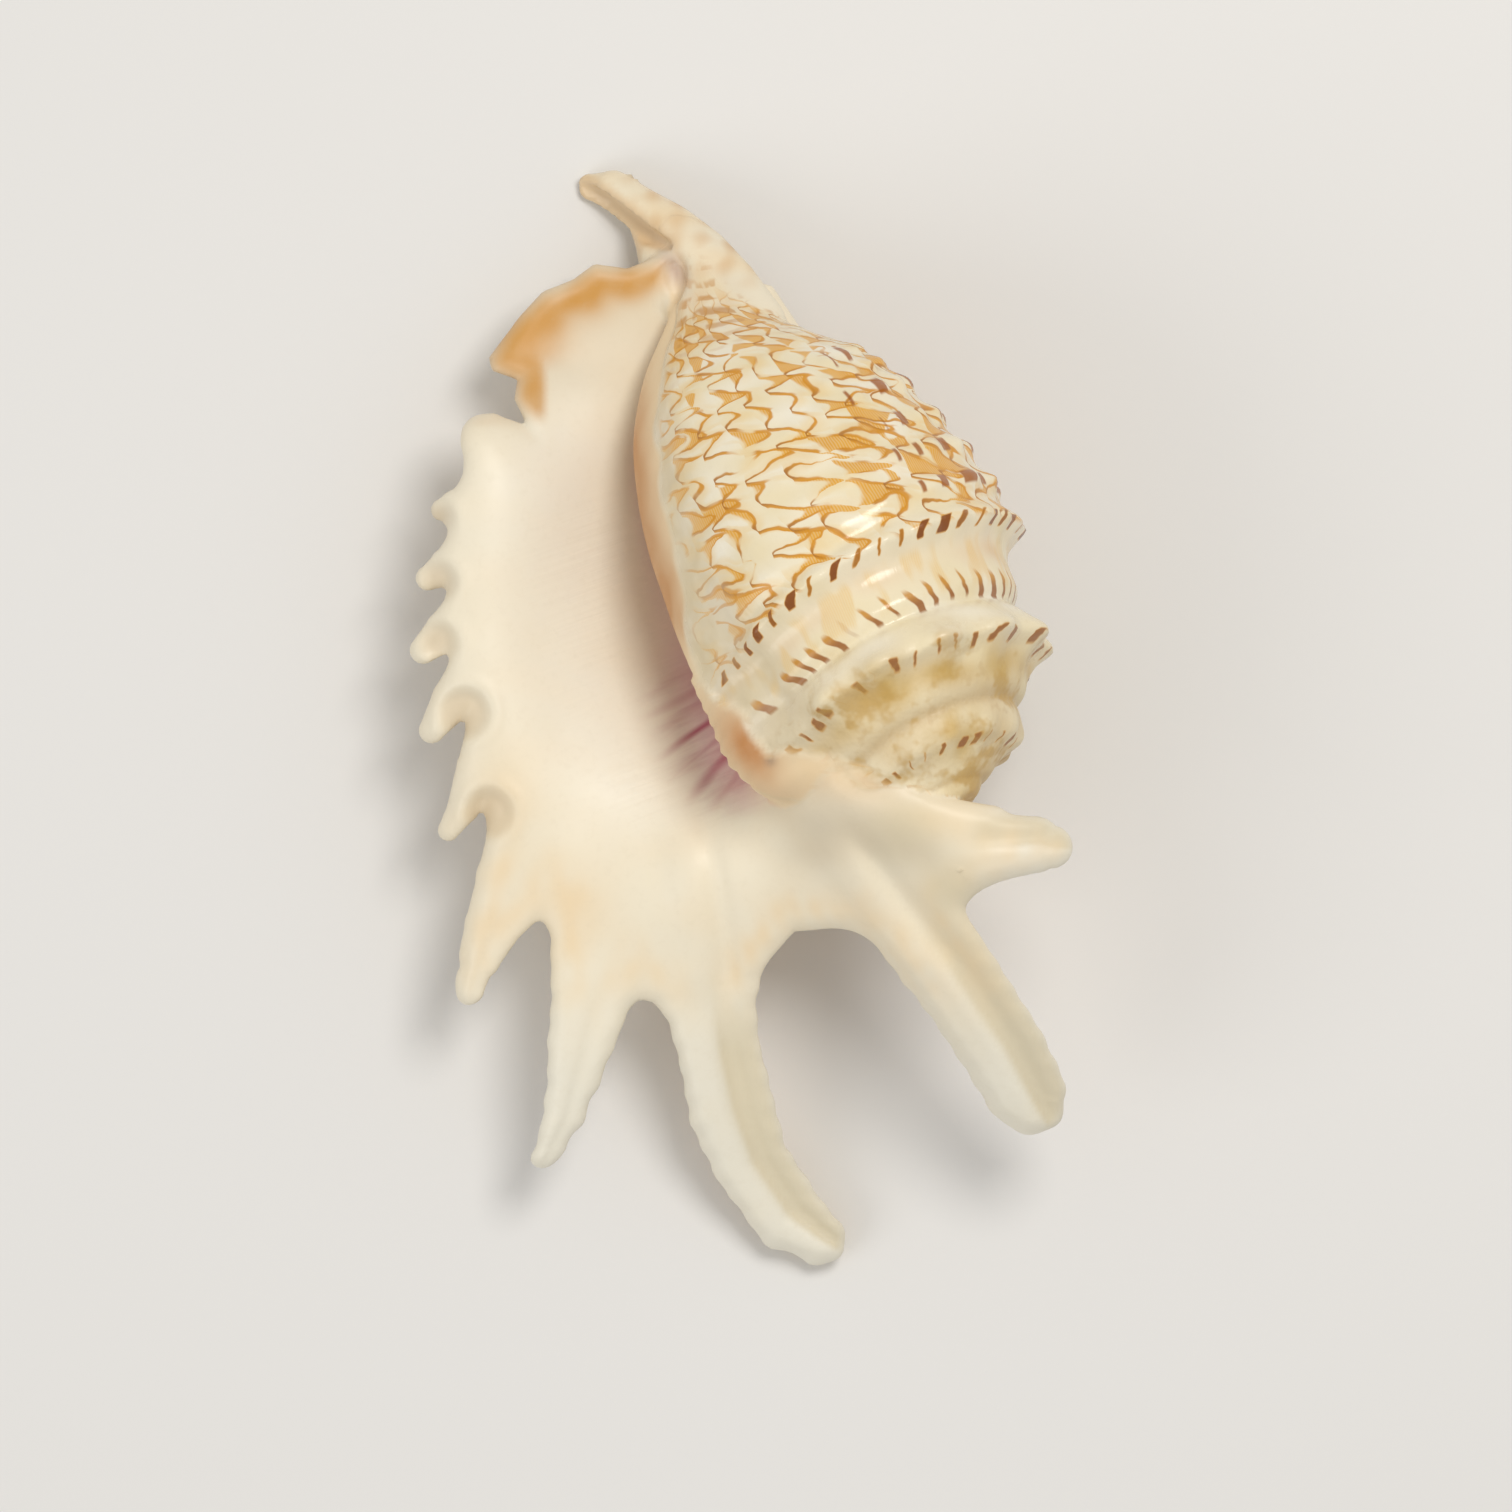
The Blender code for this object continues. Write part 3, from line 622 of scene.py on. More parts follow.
def throat_place(x, y):
    """Seen from above: height along the axis, and distance out from the callus edge."""
    dx, dy = x - APEX[0], y - APEX[1]
    down = (ALONG[0] * dx + ALONG[1] * dy) / (1 - ALONG[2] ** 2)
    out = -(RIGHT[0] * dx + RIGHT[1] * dy - curve(BEND, down)) - curve(CALLUS, down)
    return down, out


def shaded_right_halves(paths, x, y):
    """Painted shade on the right half of each digit, past its root."""
    total = np.zeros(x.shape)
    for path in paths:
        d, across, along = digit_distance(path, x, y)
        half = step(0.1, -0.14, across) * step(0.15, 0.4, along)
        total = np.maximum(total, half * step(1, -1, d))
    return total


def survey(points):
    """Where each point lies: on the lip, round the coil, by the throat, on the canal."""
    s = SimpleNamespace()
    s.x, s.y, s.z = x, y, z = points.T
    s.edge, level_z, level = lip_plan(x, y)[:3]
    s.height, up, right = around_axis(x, y, z)
    s.theta = np.degrees(np.arctan2(right - curve(BEND, s.height), up))
    s.grown = np.where(s.theta < SEAM_DEGREES, s.theta + 360, s.theta)
    s.turns = keel_turn(s.height) - s.grown / 360
    s.on_coil = step(1.2, 0.3, coil(x, y, z)) * step(93, 84, s.height)
    s.down, s.out = throat_place(x, y)
    s.n1 = ripple(x, y, z, size=9, seed=1)
    s.n2 = ripple(x, y, z, size=4, seed=2)

    # The outer, patterned skin: the coil outside the callus, and the back of the lip
    s.border = curve(BORDER, s.height)
    callus = step(s.border + 3, s.border - 3, s.theta + 2 * s.n1)
    callus = callus * step(-200, -170, s.theta)
    s.pad = step(1.0, -1.0, outline_distance(PAD, x, y) + 0.5 * s.n1) * step(-2, 2, up)
    s.callus = np.maximum(callus, s.pad * s.on_coil)
    s.outer = s.on_coil * (1 - s.callus)
    s.back = step(-0.1, -0.9, (z - level_z) * level) * (1 - s.on_coil)
    s.pattern = np.maximum(s.outer, s.back)
    s.face = 1 - np.maximum(s.on_coil, s.back)
    s.old = step(22, 12, s.height + 2 * s.n1) * s.outer

    tubes = np.minimum(tube(CANAL, x, y, z), tube(CANAL_WEB, x, y, z))
    s.canal = step(1.2, 0.3, tubes) * step(60, 66, y)
    s.bowl = step(1.6, 0.6, tube(TROUGH, x, y, z)) * s.canal * step(66, 68, y)
    return s


def face_colour(s):
    """The lip's face: porcelain, with white digits, an orange front margin and painted
    shade.
    """
    x, y, face = s.x, s.y, s.face
    ends = np.maximum(step(-22, -44, y), step(26, 36, x) * step(-2, -8, y))
    root_shade = step(-2, -14, y) * bell(s.edge + 3, 2.2) * step(-38, -26, y)
    colour = paint(
        np.tile(np.array(PORCELAIN), (len(x), 1)),
        (PEACH, face * (0.04 + 0.08 * s.n1)),
        (DIGIT_WHITE, face * ends * 0.7),
        # Painted shade on the long digits' right halves
        (GROOVE_SHADE, face * shaded_right_halves(LONG_DIGITS[2:], x, y) * 0.75),
        # Painted shade near the edge, and in two spots, where the digits leave the lip
        (PEACH, face * root_shade * (0.42 + 0.2 * s.n2)),
        (PEACH, face * spots(x, y, ROOT_SHADE_SPOTS) * 0.45),
    )
    # Painted shade in the hollows between the digits
    for a, b, reach in HOLLOWS:
        rolled_shade = step(reach + 1.0, reach - 2.0, np.hypot(x - a, y - b))
        colour = paint(colour, (HOLLOW_SHADE, face * rolled_shade * 0.62))
    for shade, strength, places in FACE_SHADES:
        colour = paint(colour, (shade, face * spots(x, y, places) * strength))

    # Orange band inside the margin of the front lobe
    front = np.maximum(step(50, 54, y), step(43, 46, y) * step(-27, -29, x)) * face
    band = bell(s.edge + 2.6, 1.7) * step(-9, -12, x)
    colour = paint(
        colour,
        # Painted shade in grey over the front lobe
        (GLAZE_GREY_AND_SHADE, face * step(44, 54, y) * step(2, -6, x) * 0.34),
        (LIP_WHITE, face * bell(np.hypot(x + 23, (y - 36) * 0.6), 8) * 0.6),
        (MARGIN_ORANGE, front * band * (0.92 + 0.2 * s.n1)),
    )
    for a, b, reach in LOBE_SPOTS:
        spot = bell(np.hypot(x - a, y - b), reach)
        colour = paint(colour, (MARGIN_ORANGE, front * spot * 0.9))
    return colour


def throat_colour(s, colour):
    """Painted shade, then purple, toward the throat; a zone outside it painted paler
    against light bounced off the body; painted shade beside the spire.
    """
    face, down, out = s.face, s.down, s.out
    depth = step(2 + 6.5 * step(55, 22, down), -0.5, out) * step(2, 14, down)
    depth = depth * step(70, 60, down) * step(3, -3, s.x)
    # A zone painted paler, offsetting the warm light bounced off the body
    wide = bell(out - 12, 9) * step(8, 20, down) * step(80, 66, down)
    # Painted shade along the lip's edge beside the spire
    rim_shade = bell(path_distance(REAR_RIM, s.x, s.y), 2.4) * step(-2, 4, s.x)
    return paint(
        colour,
        (THROAT_SHADE, face * depth * 0.08),
        (THROAT_PURPLE, face * depth * (0.28 + 0.5 * step(44, 28, down))),
        (LIP_WHITE, face * wide * 0.55),
        (GLAZE_GREY_AND_SHADE, face * rim_shade * 0.35),
    )


def callus_colour(s, colour):
    """The inner lip's callus, with an orange edge and a brown patch by the spire."""
    x, y, z, theta = s.x, s.y, s.z, s.theta
    shade = s.on_coil * s.callus
    band = shade * bell(theta + 80, 17) * step(31, 40, s.height) * step(78, 64, s.height)
    patch = slanted_spot(x, y, (-0.9, 1.0), (0.6, -0.8), (5.4, 2.7)) * step(26, 31, z)
    speck = bell(np.hypot(x - 1.9, y + 0.6), 0.8) * step(28, 34, z)
    upper = spots(x, y, ((9, -1.5, 2.8, 0.5, 1),)) * step(28, 34, z) * (1 - s.outer)
    lower = spots(x, y, ((12.4, -4.2, 2.6, 0.4, 1),)) * (1 - s.outer)
    inner = s.on_coil * step(-97, -108, theta) * step(-200, -150, theta)
    return paint(
        colour,
        (PEACH, shade * 0.75),
        (CANAL_TAN_AND_SHADE, s.pad * s.on_coil * 0.35),
        (CALLUS_ORANGE, band * (0.98 + 0.2 * s.n1)),
        (PATCH_BROWN, 1.05 * patch * s.callus),
        (SPECK_BROWN, 0.7 * speck),
        (PEACH, 0.85 * upper),
        (CANAL_TAN_AND_SHADE, 0.45 * lower),
        (THROAT_PURPLE, inner * 0.45),
    )


def skin_colour(s):
    """The outer skin's ground, with the spire's stains and painted shade under the keels
    and in the sutures.
    """
    height, turns, outer, n1, n2 = s.height, s.turns, s.outer, s.n1, s.n2
    ramp = bell(turns + 0.2, 0.13) * step(10, 20, height)
    below = bell(turns + 1.22, 0.16) * step(24, 16, height)
    skin = paint(
        np.tile(np.array(BODY_CREAM), (len(s.x), 1)),
        (LIP_WHITE, 0.26 + 0.3 * n1),
        (GLAZE_GREY_AND_SHADE, outer * step(-30, -52, s.theta + 5 * n1) * 0.5),
        # Tan on the ramp under the shoulder keel is painted shade, mottled
        (CANAL_TAN_AND_SHADE, outer * ramp * (0.26 + 0.45 * n1)),
        (OLIVE, s.old * (0.22 + 0.32 * n1)),
        # Olive below the older keel: partly a stain, partly painted shade under the keel
        (OLIVE, outer * below * (0.55 + 0.4 * n1)),
    )
    for a, b, reach in SPIRE_STAINS:
        spot = bell(np.hypot(s.x - a, s.y - b), reach) * (0.75 + 0.5 * n2)
        skin = paint(skin, (OLIVE, outer * s.old * spot))
    # Painted shade in the sutures of the older whorls
    suture = bell(turns + 1.54, 0.07) + bell(turns + 2.54, 0.07)
    return paint(
        skin,
        (SUTURE_SHADE, outer * suture * 0.5),
        (CANAL_TAN_AND_SHADE, s.on_coil * step(66, 80, height) * (0.35 + 0.3 * n2)),
        (UNDER_TINT, s.back * 0.6),
    )


def canal_colour(s, colour):
    """The canal, with painted shade in its trough and in the gap beside the front lobe."""
    gap = slanted_spot(s.x, s.y, (-10.7, 64.4), (0.885, 0.466), (1.3, 2.8))
    return paint(
        colour,
        (PORCELAIN, s.canal * 0.8),
        (PEACH, s.canal * (0.3 + 0.25 * s.n1)),
        (MARGIN_ORANGE, s.canal * (0.1 + 0.35 * s.n2) * step(-20, -14, s.x)),
        # Painted shade in the canal's trough
        (CANAL_TAN_AND_SHADE, s.bowl * 0.8),
        (GAP_SHADE, gap * step(4, 8, s.z) * 0.75),
    )


def surface_values(points):
    """What the material needs at each point: base colour, masks and pattern coordinates."""
    s = survey(points)
    x, y, z = s.x, s.y, s.z
    colour = callus_colour(s, throat_colour(s, face_colour(s)))
    pattern = s.pattern[:, None]
    colour = colour * (1 - pattern) + skin_colour(s) * pattern
    colour = canal_colour(s, colour)
    mottle = step(-0.6, 0.9, ripple(x, y, z, size=18, seed=7) + 0.5 * s.n2)
    colour = paint(colour, (MOTTLE_CREAM, 0.1 * mottle))

    # Millimetres grown: round the body, or leftward across the lip's back
    growth = s.grown * BODY_RADIUS / RADIAN
    leftward = -(x * np.cos(AXIS_LEFT) + y * np.sin(AXIS_LEFT)) + 14
    growth = np.where(s.back > 0.5, np.clip(leftward, -20, 60) + 66, growth)
    border = step(s.border + 1, s.border + 9, s.theta + 3 * s.n2)
    marks = s.outer * step(82, 74, s.height) * border + s.back * step(0, -2.5, s.edge)
    throat = step(24, 6, s.out) * s.face * step(5, 16, s.down) * step(66, 52, s.down)
    return colour, {
        "growth": growth,
        "height": s.height,
        "turns": s.turns,
        "angle": s.grown,
        "marks": marks * (1 - s.canal),
        "coil": s.outer,
        "porcelain": 1 - s.pattern,
        "down": s.down,
        "out": s.out,
        "throat": throat,
        "old": s.old,
        "canal": s.outer * bell(s.height - 77, 7) * step(-60, -30, s.theta),
        "wave": 0.14 * ripple(x, y, z, size=13, seed=3),
        "drift": 0.12 * ripple(x, y, z, size=7.5, seed=4),
        "patchy": ripple(x, y, z, size=8, seed=5),
        "dents": 0.06 * ripple(x, y, z, size=16, seed=6),
    }


def build_shell():
    points, quads = mesh_of(*sampled())
    points = settle(points, quads)
    colour, values = surface_values(points)
    low, high = points.min(axis=0), points.max(axis=0)
    centre = (cad_low + cad_high) / 2 * METRE
    shift = np.array((
        centre.x - (low[0] + high[0]) / 2,
        centre.y - (low[1] + high[1]) / 2,
        cad_low.z * METRE - low[2],
    ))
    mesh = bpy.data.meshes.new("shell_fine")
    mesh.vertices.add(len(points))
    mesh.vertices.foreach_set("co", ((points + shift) * MM).astype(np.float32).ravel())
    mesh.loops.add(quads.size)
    mesh.loops.foreach_set("vertex_index", quads.astype(np.int32).ravel())
    mesh.polygons.add(len(quads))
    mesh.polygons.foreach_set("loop_start", np.arange(0, quads.size, 4, dtype=np.int32))
    mesh.update(calc_edges=True)
    mesh.validate()
    mesh.shade_smooth()
    layer = mesh.attributes.new("tint", "FLOAT_COLOR", "POINT")
    rgba = np.column_stack((colour, np.ones(len(points)))).astype(np.float32)
    layer.data.foreach_set("color", rgba.ravel())
    for name, value in values.items():
        layer = mesh.attributes.new(name, "FLOAT", "POINT")
        layer.data.foreach_set("value", value.astype(np.float32))
    obj = bpy.data.objects.new("shell_fine", mesh)
    bpy.context.scene.collection.objects.link(obj)
    mesh.materials.append(shell_material())
    print("fine shell:", len(points), "points,", 2 * len(quads), "triangles")
    return obj, shift


class Nodes:
    """Short calls for building a node tree."""

    def __init__(self, material):
        material.use_nodes = True
        self.tree = material.node_tree
        self.shader = self.tree.nodes["Principled BSDF"]

    def link(self, value, socket):
        if isinstance(value, bpy.types.NodeSocket):
            self.tree.links.new(value, socket)
        else:
            socket.default_value = value

    def new(self, kind):
        return self.tree.nodes.new("ShaderNode" + kind)

    def attribute(self, name, output="Fac"):
        node = self.new("Attribute")
        node.attribute_name = name
        return node.outputs[output]

    def math(self, kind, a, b=0.0, c=0.0):
        node = self.new("Math")
        node.operation = kind
        for value, socket in zip((a, b, c), node.inputs):
            self.link(value, socket)
        return node.outputs[0]

    def add(self, a, b):
        return self.math("ADD", a, b)

    def plus(self, a, b, weight):
        """a + b * weight"""
        return self.add(a, self.mul(b, weight))

    def most(self, a, b):
        return self.math("MAXIMUM", a, b)

    def sub(self, a, b):
        return self.math("SUBTRACT", a, b)

    def mul(self, *values):
        total = values[0]
        for value in values[1:]:
            total = self.math("MULTIPLY", total, value)
        return total

    def step(self, start, end, x):
        node = self.new("MapRange")
        node.interpolation_type = "SMOOTHSTEP"
        self.link(x, node.inputs["Value"])
        node.inputs["From Min"].default_value = start
        node.inputs["From Max"].default_value = end
        return node.outputs["Result"]

    def band(self, x, start, full, fade, end):
        """1 between full and fade, 0 outside start and end."""
        return self.mul(self.step(start, full, x), self.step(end, fade, x))

    def bar(self, share, width, rise, over, under):
        """1 over the first part of a cell, as far as the width, with soft ends."""
        fall = self.step(over, under, self.sub(share, width))
        return self.mul(self.step(0.0, rise, share), fall)

    def point(self, x, y, z):
        node = self.new("CombineXYZ")
        for value, socket in zip((x, y, z), node.inputs):
            self.link(value, socket)
        return node.outputs[0]

    def noise(self, place, scale, detail=2.0, rough=0.5):
        node = self.new("TexNoise")
        self.link(place, node.inputs["Vector"])
        node.inputs["Scale"].default_value = scale
        node.inputs["Detail"].default_value = detail
        node.inputs["Roughness"].default_value = rough
        return node.outputs["Fac"]

    def cell(self, a, b, c):
        """A random value for each whole-numbered cell."""
        node = self.new("TexWhiteNoise")
        self.link(self.point(a, b, c), node.inputs["Vector"])
        return node.outputs["Value"]

    def mix(self, amount, a, b):
        node = self.new("Mix")
        node.data_type = "RGBA"
        self.link(amount, node.inputs[0])
        for value, socket in ((a, node.inputs[6]), (b, node.inputs[7])):
            if not isinstance(value, bpy.types.NodeSocket):
                value = (*value, 1)
            self.link(value, socket)
        return node.outputs[2]


# Colours of the markings, linear
HALO_GOLD = (0.82, 0.57, 0.22)
WEDGE_GOLD = ((0.8, 0.43, 0.045), (0.7, 0.3, 0.012))
LINE_INK = ((0.66, 0.28, 0.015), (0.4, 0.145, 0.012))
BLOCK_EDGE = (0.66, 0.32, 0.05)
BLOCK_BROWN = ((0.46, 0.18, 0.02), (0.24, 0.066, 0.01))
CORD_BROWN = (0.36, 0.105, 0.01)
VEIL_GOLD = (0.8, 0.53, 0.18)
STROKE_BROWN = ((0.58, 0.26, 0.03), (0.33, 0.115, 0.02))
SPOT_EDGE = (0.62, 0.32, 0.08)
SPOT_BROWN = (0.33, 0.12, 0.03)
CANAL_RED = (0.58, 0.28, 0.07)
STREAK_PURPLE = (0.4, 0.07, 0.12)
GLAZE_MOTTLE = (0.62, 0.5, 0.3)
STAIN_OLIVE = (0.54, 0.33, 0.08)
WORN_BROWN = (0.46, 0.27, 0.08)
GRAIN_GREY = (0.62, 0.52, 0.36)

# Zigzag pattern: millimetres from line to line and from bend to bend
LINE_GAP = 4.6
BEND_GAP = 4.3
SLOPE_STEP = 0.03
SLOPE_SCALE = 36.0
# Cords of the right side that carry spots, and keels of the older whorls: (turn,
# degrees from spot to spot)
SPOTTED_CORDS = (0.228, 0.42, 0.58, 0.735, 0.9)
OLDER_KEELS = ((-1, 9.2), (-2, 13.8))
# Streaks out of the throat: (height along the axis, lean, half width, strength)
STREAKS = (
    (24.9, 0.3, 1, 0.95), (19.3, 0.5, 1.3, 0.85), (29.6, 0.15, 1, 0.45),
    (21.9, 0.35, 0.7, 0.4), (16.4, 0.5, 1, 0.4),
)
# What the markings read at each point
FIELDS = (
    "growth", "height", "turns", "angle", "marks", "coil", "old", "porcelain", "down",
    "out", "throat", "canal", "wave", "drift", "patchy", "dents",
)


class Skin(Nodes):
    """The shell's node tree, with the fields that its markings share."""

    def __init__(self, material):
        super().__init__(material)
        self.place = self.new("TexCoord").outputs["Object"]
        for field in FIELDS:
            setattr(self, field, self.attribute(field))
        self.cloud = self.noise(self.place, 300)
        self.ragged = self.sub(self.cloud, 0.5)
        self.fine = self.noise(self.place, 900, 2, 0.6)
        hatch = self.add(self.mul(self.growth, 16.5), self.mul(self.ragged, 10))
        self.hatch = self.math("SINE", hatch)


def zigzags(n, colour):
    """Zigzag lines along the axis, side by side.

    Each bend runs out to the right and leans back again, with a gold wedge inside it.
    """
    lines = n.plus(n.mul(n.growth, 1 / LINE_GAP), n.height, 0.03)
    lines = n.add(lines, n.plus(n.mul(n.wave, 1.5), n.ragged, 0.3))
    high = n.most(n.sub(n.height, 44), 0)
    rows = n.mul(n.add(n.height, n.mul(high, high, 0.005)), -1 / BEND_GAP)
    rows = n.plus(rows, n.growth, -0.075)
    rows = n.add(rows, n.plus(n.mul(n.drift, 1.3), n.ragged, 0.3))
    thick = n.add(0.5, n.cloud)
    plenty = n.plus(n.step(8, 35, n.angle), n.step(56, 66, n.height), 1.3)
    plenty = n.plus(1, plenty, 0.5)
    line, wedge, hook, halo = 0, 0, 0, 0.0
    for before in (0, 1):
        column = n.sub(n.math("FLOOR", lines), before)
        bends = n.add(rows, n.cell(column, 0, 11))
        share, row = n.math("FRACT", bends), n.math("FLOOR", bends)
        size = n.noise(n.point(n.mul(column, 7.3), n.mul(bends, 0.9), 3), 1, 0)
        size = n.plus(0.45, n.step(0.34, 0.66, size), 1.05)

        # Distance to the line, from its sideways offset and its slope there
        sway = n.band(share, 0.02, 0.3, 0.3, 0.99)
        next_sway = n.band(n.add(share, SLOPE_STEP), 0.02, 0.3, 0.3, 0.99)
        slope = n.mul(n.sub(next_sway, sway), size, SLOPE_SCALE)
        left = n.sub(n.mul(sway, size), n.sub(lines, column))
        stretch = n.math("SQRT", n.plus(1, slope, slope))
        distance = n.mul(n.math("ABSOLUTE", left), LINE_GAP)
        distance = n.math("DIVIDE", distance, stretch)

        half = n.plus(0.22, n.step(0.38, 0.12, share), 0.15)
        half = n.mul(half, thick)
        stroke = n.step(1.35, 0.45, n.math("DIVIDE", distance, half))
        line = n.most(line, stroke)
        ends = n.most(n.step(0.55, 0.95, share), n.step(0.16, 0, share))
        hook = n.most(hook, n.mul(ends, stroke))
        width = n.plus(0.06, n.cell(column, row, 2), 1.05)
        width = n.mul(width, n.mul(size, plenty), n.step(0.98, 0.22, share))
        inside = n.mul(n.step(-0.01, 0.03, left), n.step(0.1, 0.22, share))
        inside = n.mul(inside, n.step(0, 0.16, n.sub(width, left)))
        wedge = n.most(wedge, inside)
        halo = n.most(halo, n.step(2, 0.1, distance))
    line = n.mul(line, n.step(0.36, 0.46, n.noise(n.place, 200, 1)))
    wedge = n.mul(wedge, n.step(-0.95, -0.8, n.patchy))
    wedge = n.mul(wedge, n.plus(0.84, n.hatch, 0.16))
    halo = n.mul(halo, n.step(-0.9, 0.6, n.patchy))

    on_body = n.mul(n.marks, n.step(-0.02, 0.03, n.turns), n.coil)
    on_body = n.most(on_body, n.mul(n.marks, n.sub(1, n.coil)))
    fade = n.sub(1, n.mul(n.step(-36, -56, n.angle), 0.45))
    on_body = n.mul(on_body, fade)
    colour = n.mix(n.mul(halo, on_body, 0.5), colour, HALO_GOLD)
    colour = n.mix(n.mul(wedge, on_body, 0.97), colour, n.mix(n.cloud, *WEDGE_GOLD))
    return n.mix(n.mul(line, on_body, 0.92), colour, n.mix(hook, *LINE_INK))


def keel_blocks(n, colour):
    blocks = n.plus(n.mul(n.angle, 1 / 9.2), n.wave, 1.6)
    blocks = n.plus(n.plus(blocks, n.ragged, 0.5), n.turns, -4)
    number = n.cell(n.math("FLOOR", blocks), 3, 7)
    wide = n.plus(0.14, number, 0.48)
    block = n.bar(n.math("FRACT", blocks), wide, 0.13, 0.09, -0.04)
    block = n.mul(block, n.mul(n.band(n.turns, -0.052, -0.034, 0.024, 0.046), n.coil))
    dark = n.mix(n.step(0.12, 0.45, number), *BLOCK_BROWN)
    colour = n.mix(n.mul(n.step(0, 0.45, block), 0.85), colour, BLOCK_EDGE)
    return n.mix(n.mul(n.step(0.35, 0.85, block), 0.95), colour, dark)


def cord_spots(n, colour):
    """Smaller spots along the cords of the right side."""
    for turn in SPOTTED_CORDS:
        cord = n.band(n.turns, turn - 0.042, turn - 0.026, turn + 0.026, turn + 0.042)
        cord = n.mul(cord, n.coil)
        dots = n.add(n.mul(n.angle, 1 / (11 + 6 * turn)), turn * 7)
        number = n.cell(n.math("FLOOR", dots), turn, 9)
        dot = n.bar(n.math("FRACT", dots), n.mul(number, 0.56), 0.06, 0.06, 0)
        near = n.step(22, 23, n.sub(n.angle, n.mul(number, 14)))
        dot = n.mul(dot, n.step(0.12, 0.14, number), near)
        colour = n.mix(n.mul(cord, dot, 0.9), colour, CORD_BROWN)
    return colour


def ramp_strokes(n, colour):
    """A golden veil over the ramp, and short strokes on it beside each suture."""
    veil = n.noise(n.point(n.mul(n.growth, 0.3), n.mul(n.turns, 2), 3), 1, 1)
    veil = n.mul(n.step(0.48, 0.62, veil), n.step(-0.5, -0.4, n.turns),
                 n.step(-0.05, -0.12, n.turns), n.coil)
    veil = n.mul(veil, n.plus(0.8, n.hatch, 0.2), n.sub(1, n.old))
    colour = n.mix(n.mul(veil, 0.55), colour, VEIL_GOLD)

    slant = n.plus(n.mul(n.angle, 1 / 8.8), n.turns, 1.4)
    slant = n.add(slant, n.plus(n.mul(n.wave, 1.3), n.ragged, 0.5))
    slant = n.sub(slant, n.mul(n.step(-0.42, -0.51, n.turns), 0.2))
    number = n.cell(n.math("FLOOR", slant), 5, 3)
    wide = n.plus(0.45, n.step(-0.27, -0.42, n.turns), 0.55)
    wide = n.mul(n.plus(0.15, number, 0.26), wide)
    stroke = n.bar(n.math("FRACT", slant), wide, 0.1, 0.1, 0)
    stroke = n.mul(stroke, n.step(0.15, 0.2, number))
    reach = n.plus(n.turns, number, 0.07)
    ramp = n.mul(n.band(reach, -0.52, -0.47, -0.33, -0.25), n.coil)
    ink = n.mix(n.step(-0.38, -0.49, n.turns), *STROKE_BROWN)
    return n.mix(n.mul(stroke, ramp, 0.93), colour, ink)


def keel_spots(n, colour):
    for turn, every in OLDER_KEELS:
        dots = n.add(n.mul(n.angle, 1 / every), n.ragged)
        number = n.cell(n.math("FLOOR", dots), turn, 4)
        spot = n.bar(n.math("FRACT", dots), n.mul(number, 0.6), 0.16, 0.12, -0.04)
        keel = n.band(n.turns, turn - 0.1, turn - 0.05, turn, turn + 0.04)
        spot = n.mul(n.mul(keel, n.coil), spot)
        colour = n.mix(n.mul(n.step(0, 0.5, spot), 0.75), colour, SPOT_EDGE)
        colour = n.mix(n.mul(n.step(0.4, 0.9, spot), 0.88), colour, SPOT_BROWN)
    return colour


def canal_strokes(n, colour):
    rings = n.plus(n.height, n.growth, 0.1)
    rings = n.plus(n.mul(rings, 1 / 2.3), n.wave, 3.6)
    rings = n.add(rings, n.plus(n.mul(n.drift, 1.8), n.ragged, 0.6))
    ring = n.band(n.math("FRACT", rings), 0, 0.14, 0.36, 0.6)
    broken = n.noise(n.point(n.mul(n.growth, 0.6), n.height, 2), 0.22, 1)
    ring = n.mul(ring, n.step(0.42, 0.52, broken))
    return n.mix(n.mul(ring, n.canal, 0.8), colour, CANAL_RED)


def throat_streaks(n, colour):
    across = n.plus(n.mul(n.down, 0.42), n.out, 0.06)
    faint = n.noise(n.point(across, n.mul(n.out, 0.05), 1), 1, 3, 0.6)
    streak = n.mul(n.step(0.42, 0.72, faint), 0.4)
    for at, lean, wide, strong in STREAKS:
        off = n.plus(n.plus(n.down, n.out, lean), n.drift, 1.2)
        one = n.step(wide, 0, n.math("ABSOLUTE", n.sub(off, at)))
        one = n.mul(one, n.plus(0.5, faint, 0.9), strong)
        streak = n.most(streak, one)
    reach = n.mul(n.step(10, 2, n.out), n.step(9, 13, n.down), n.step(38, 27, n.down))
    streak = n.mul(streak, reach, n.throat)
    return n.mix(n.mul(streak, 0.95), colour, STREAK_PURPLE)


def stains(n, colour):
    """Mottled glaze, stains on the old spire, and grain."""
    glaze = n.mul(n.step(-34, -52, n.angle), n.coil, n.step(76, 66, n.height))
    glaze = n.mul(glaze, n.step(0.42, 0.66, n.noise(n.place, 230)))
    colour = n.mix(n.mul(glaze, 0.34), colour, GLAZE_MOTTLE)
    stain = n.mul(n.step(0.5, 0.66, n.noise(n.place, 170, 3, 0.65)), n.old)
    colour = n.mix(n.mul(stain, 0.7), colour, STAIN_OLIVE)
    worn = n.step(0.56, 0.7, n.noise(n.place, 420, 2, 0.6))
    worn = n.mul(worn, n.step(0.5, 1, n.old))
    colour = n.mix(n.mul(worn, 0.2), colour, WORN_BROWN)
    return n.mix(n.mul(n.step(0.48, 0.78, n.fine), 0.07), colour, GRAIN_GREY)


def roughness(n):
    """Glossy outside, satin inside, dull on the old spire."""
    rough = n.plus(0.22, n.porcelain, 0.22)
    rough = n.plus(rough, n.old, 0.25)
    return n.plus(rough, n.sub(n.fine, 0.5), 0.12)


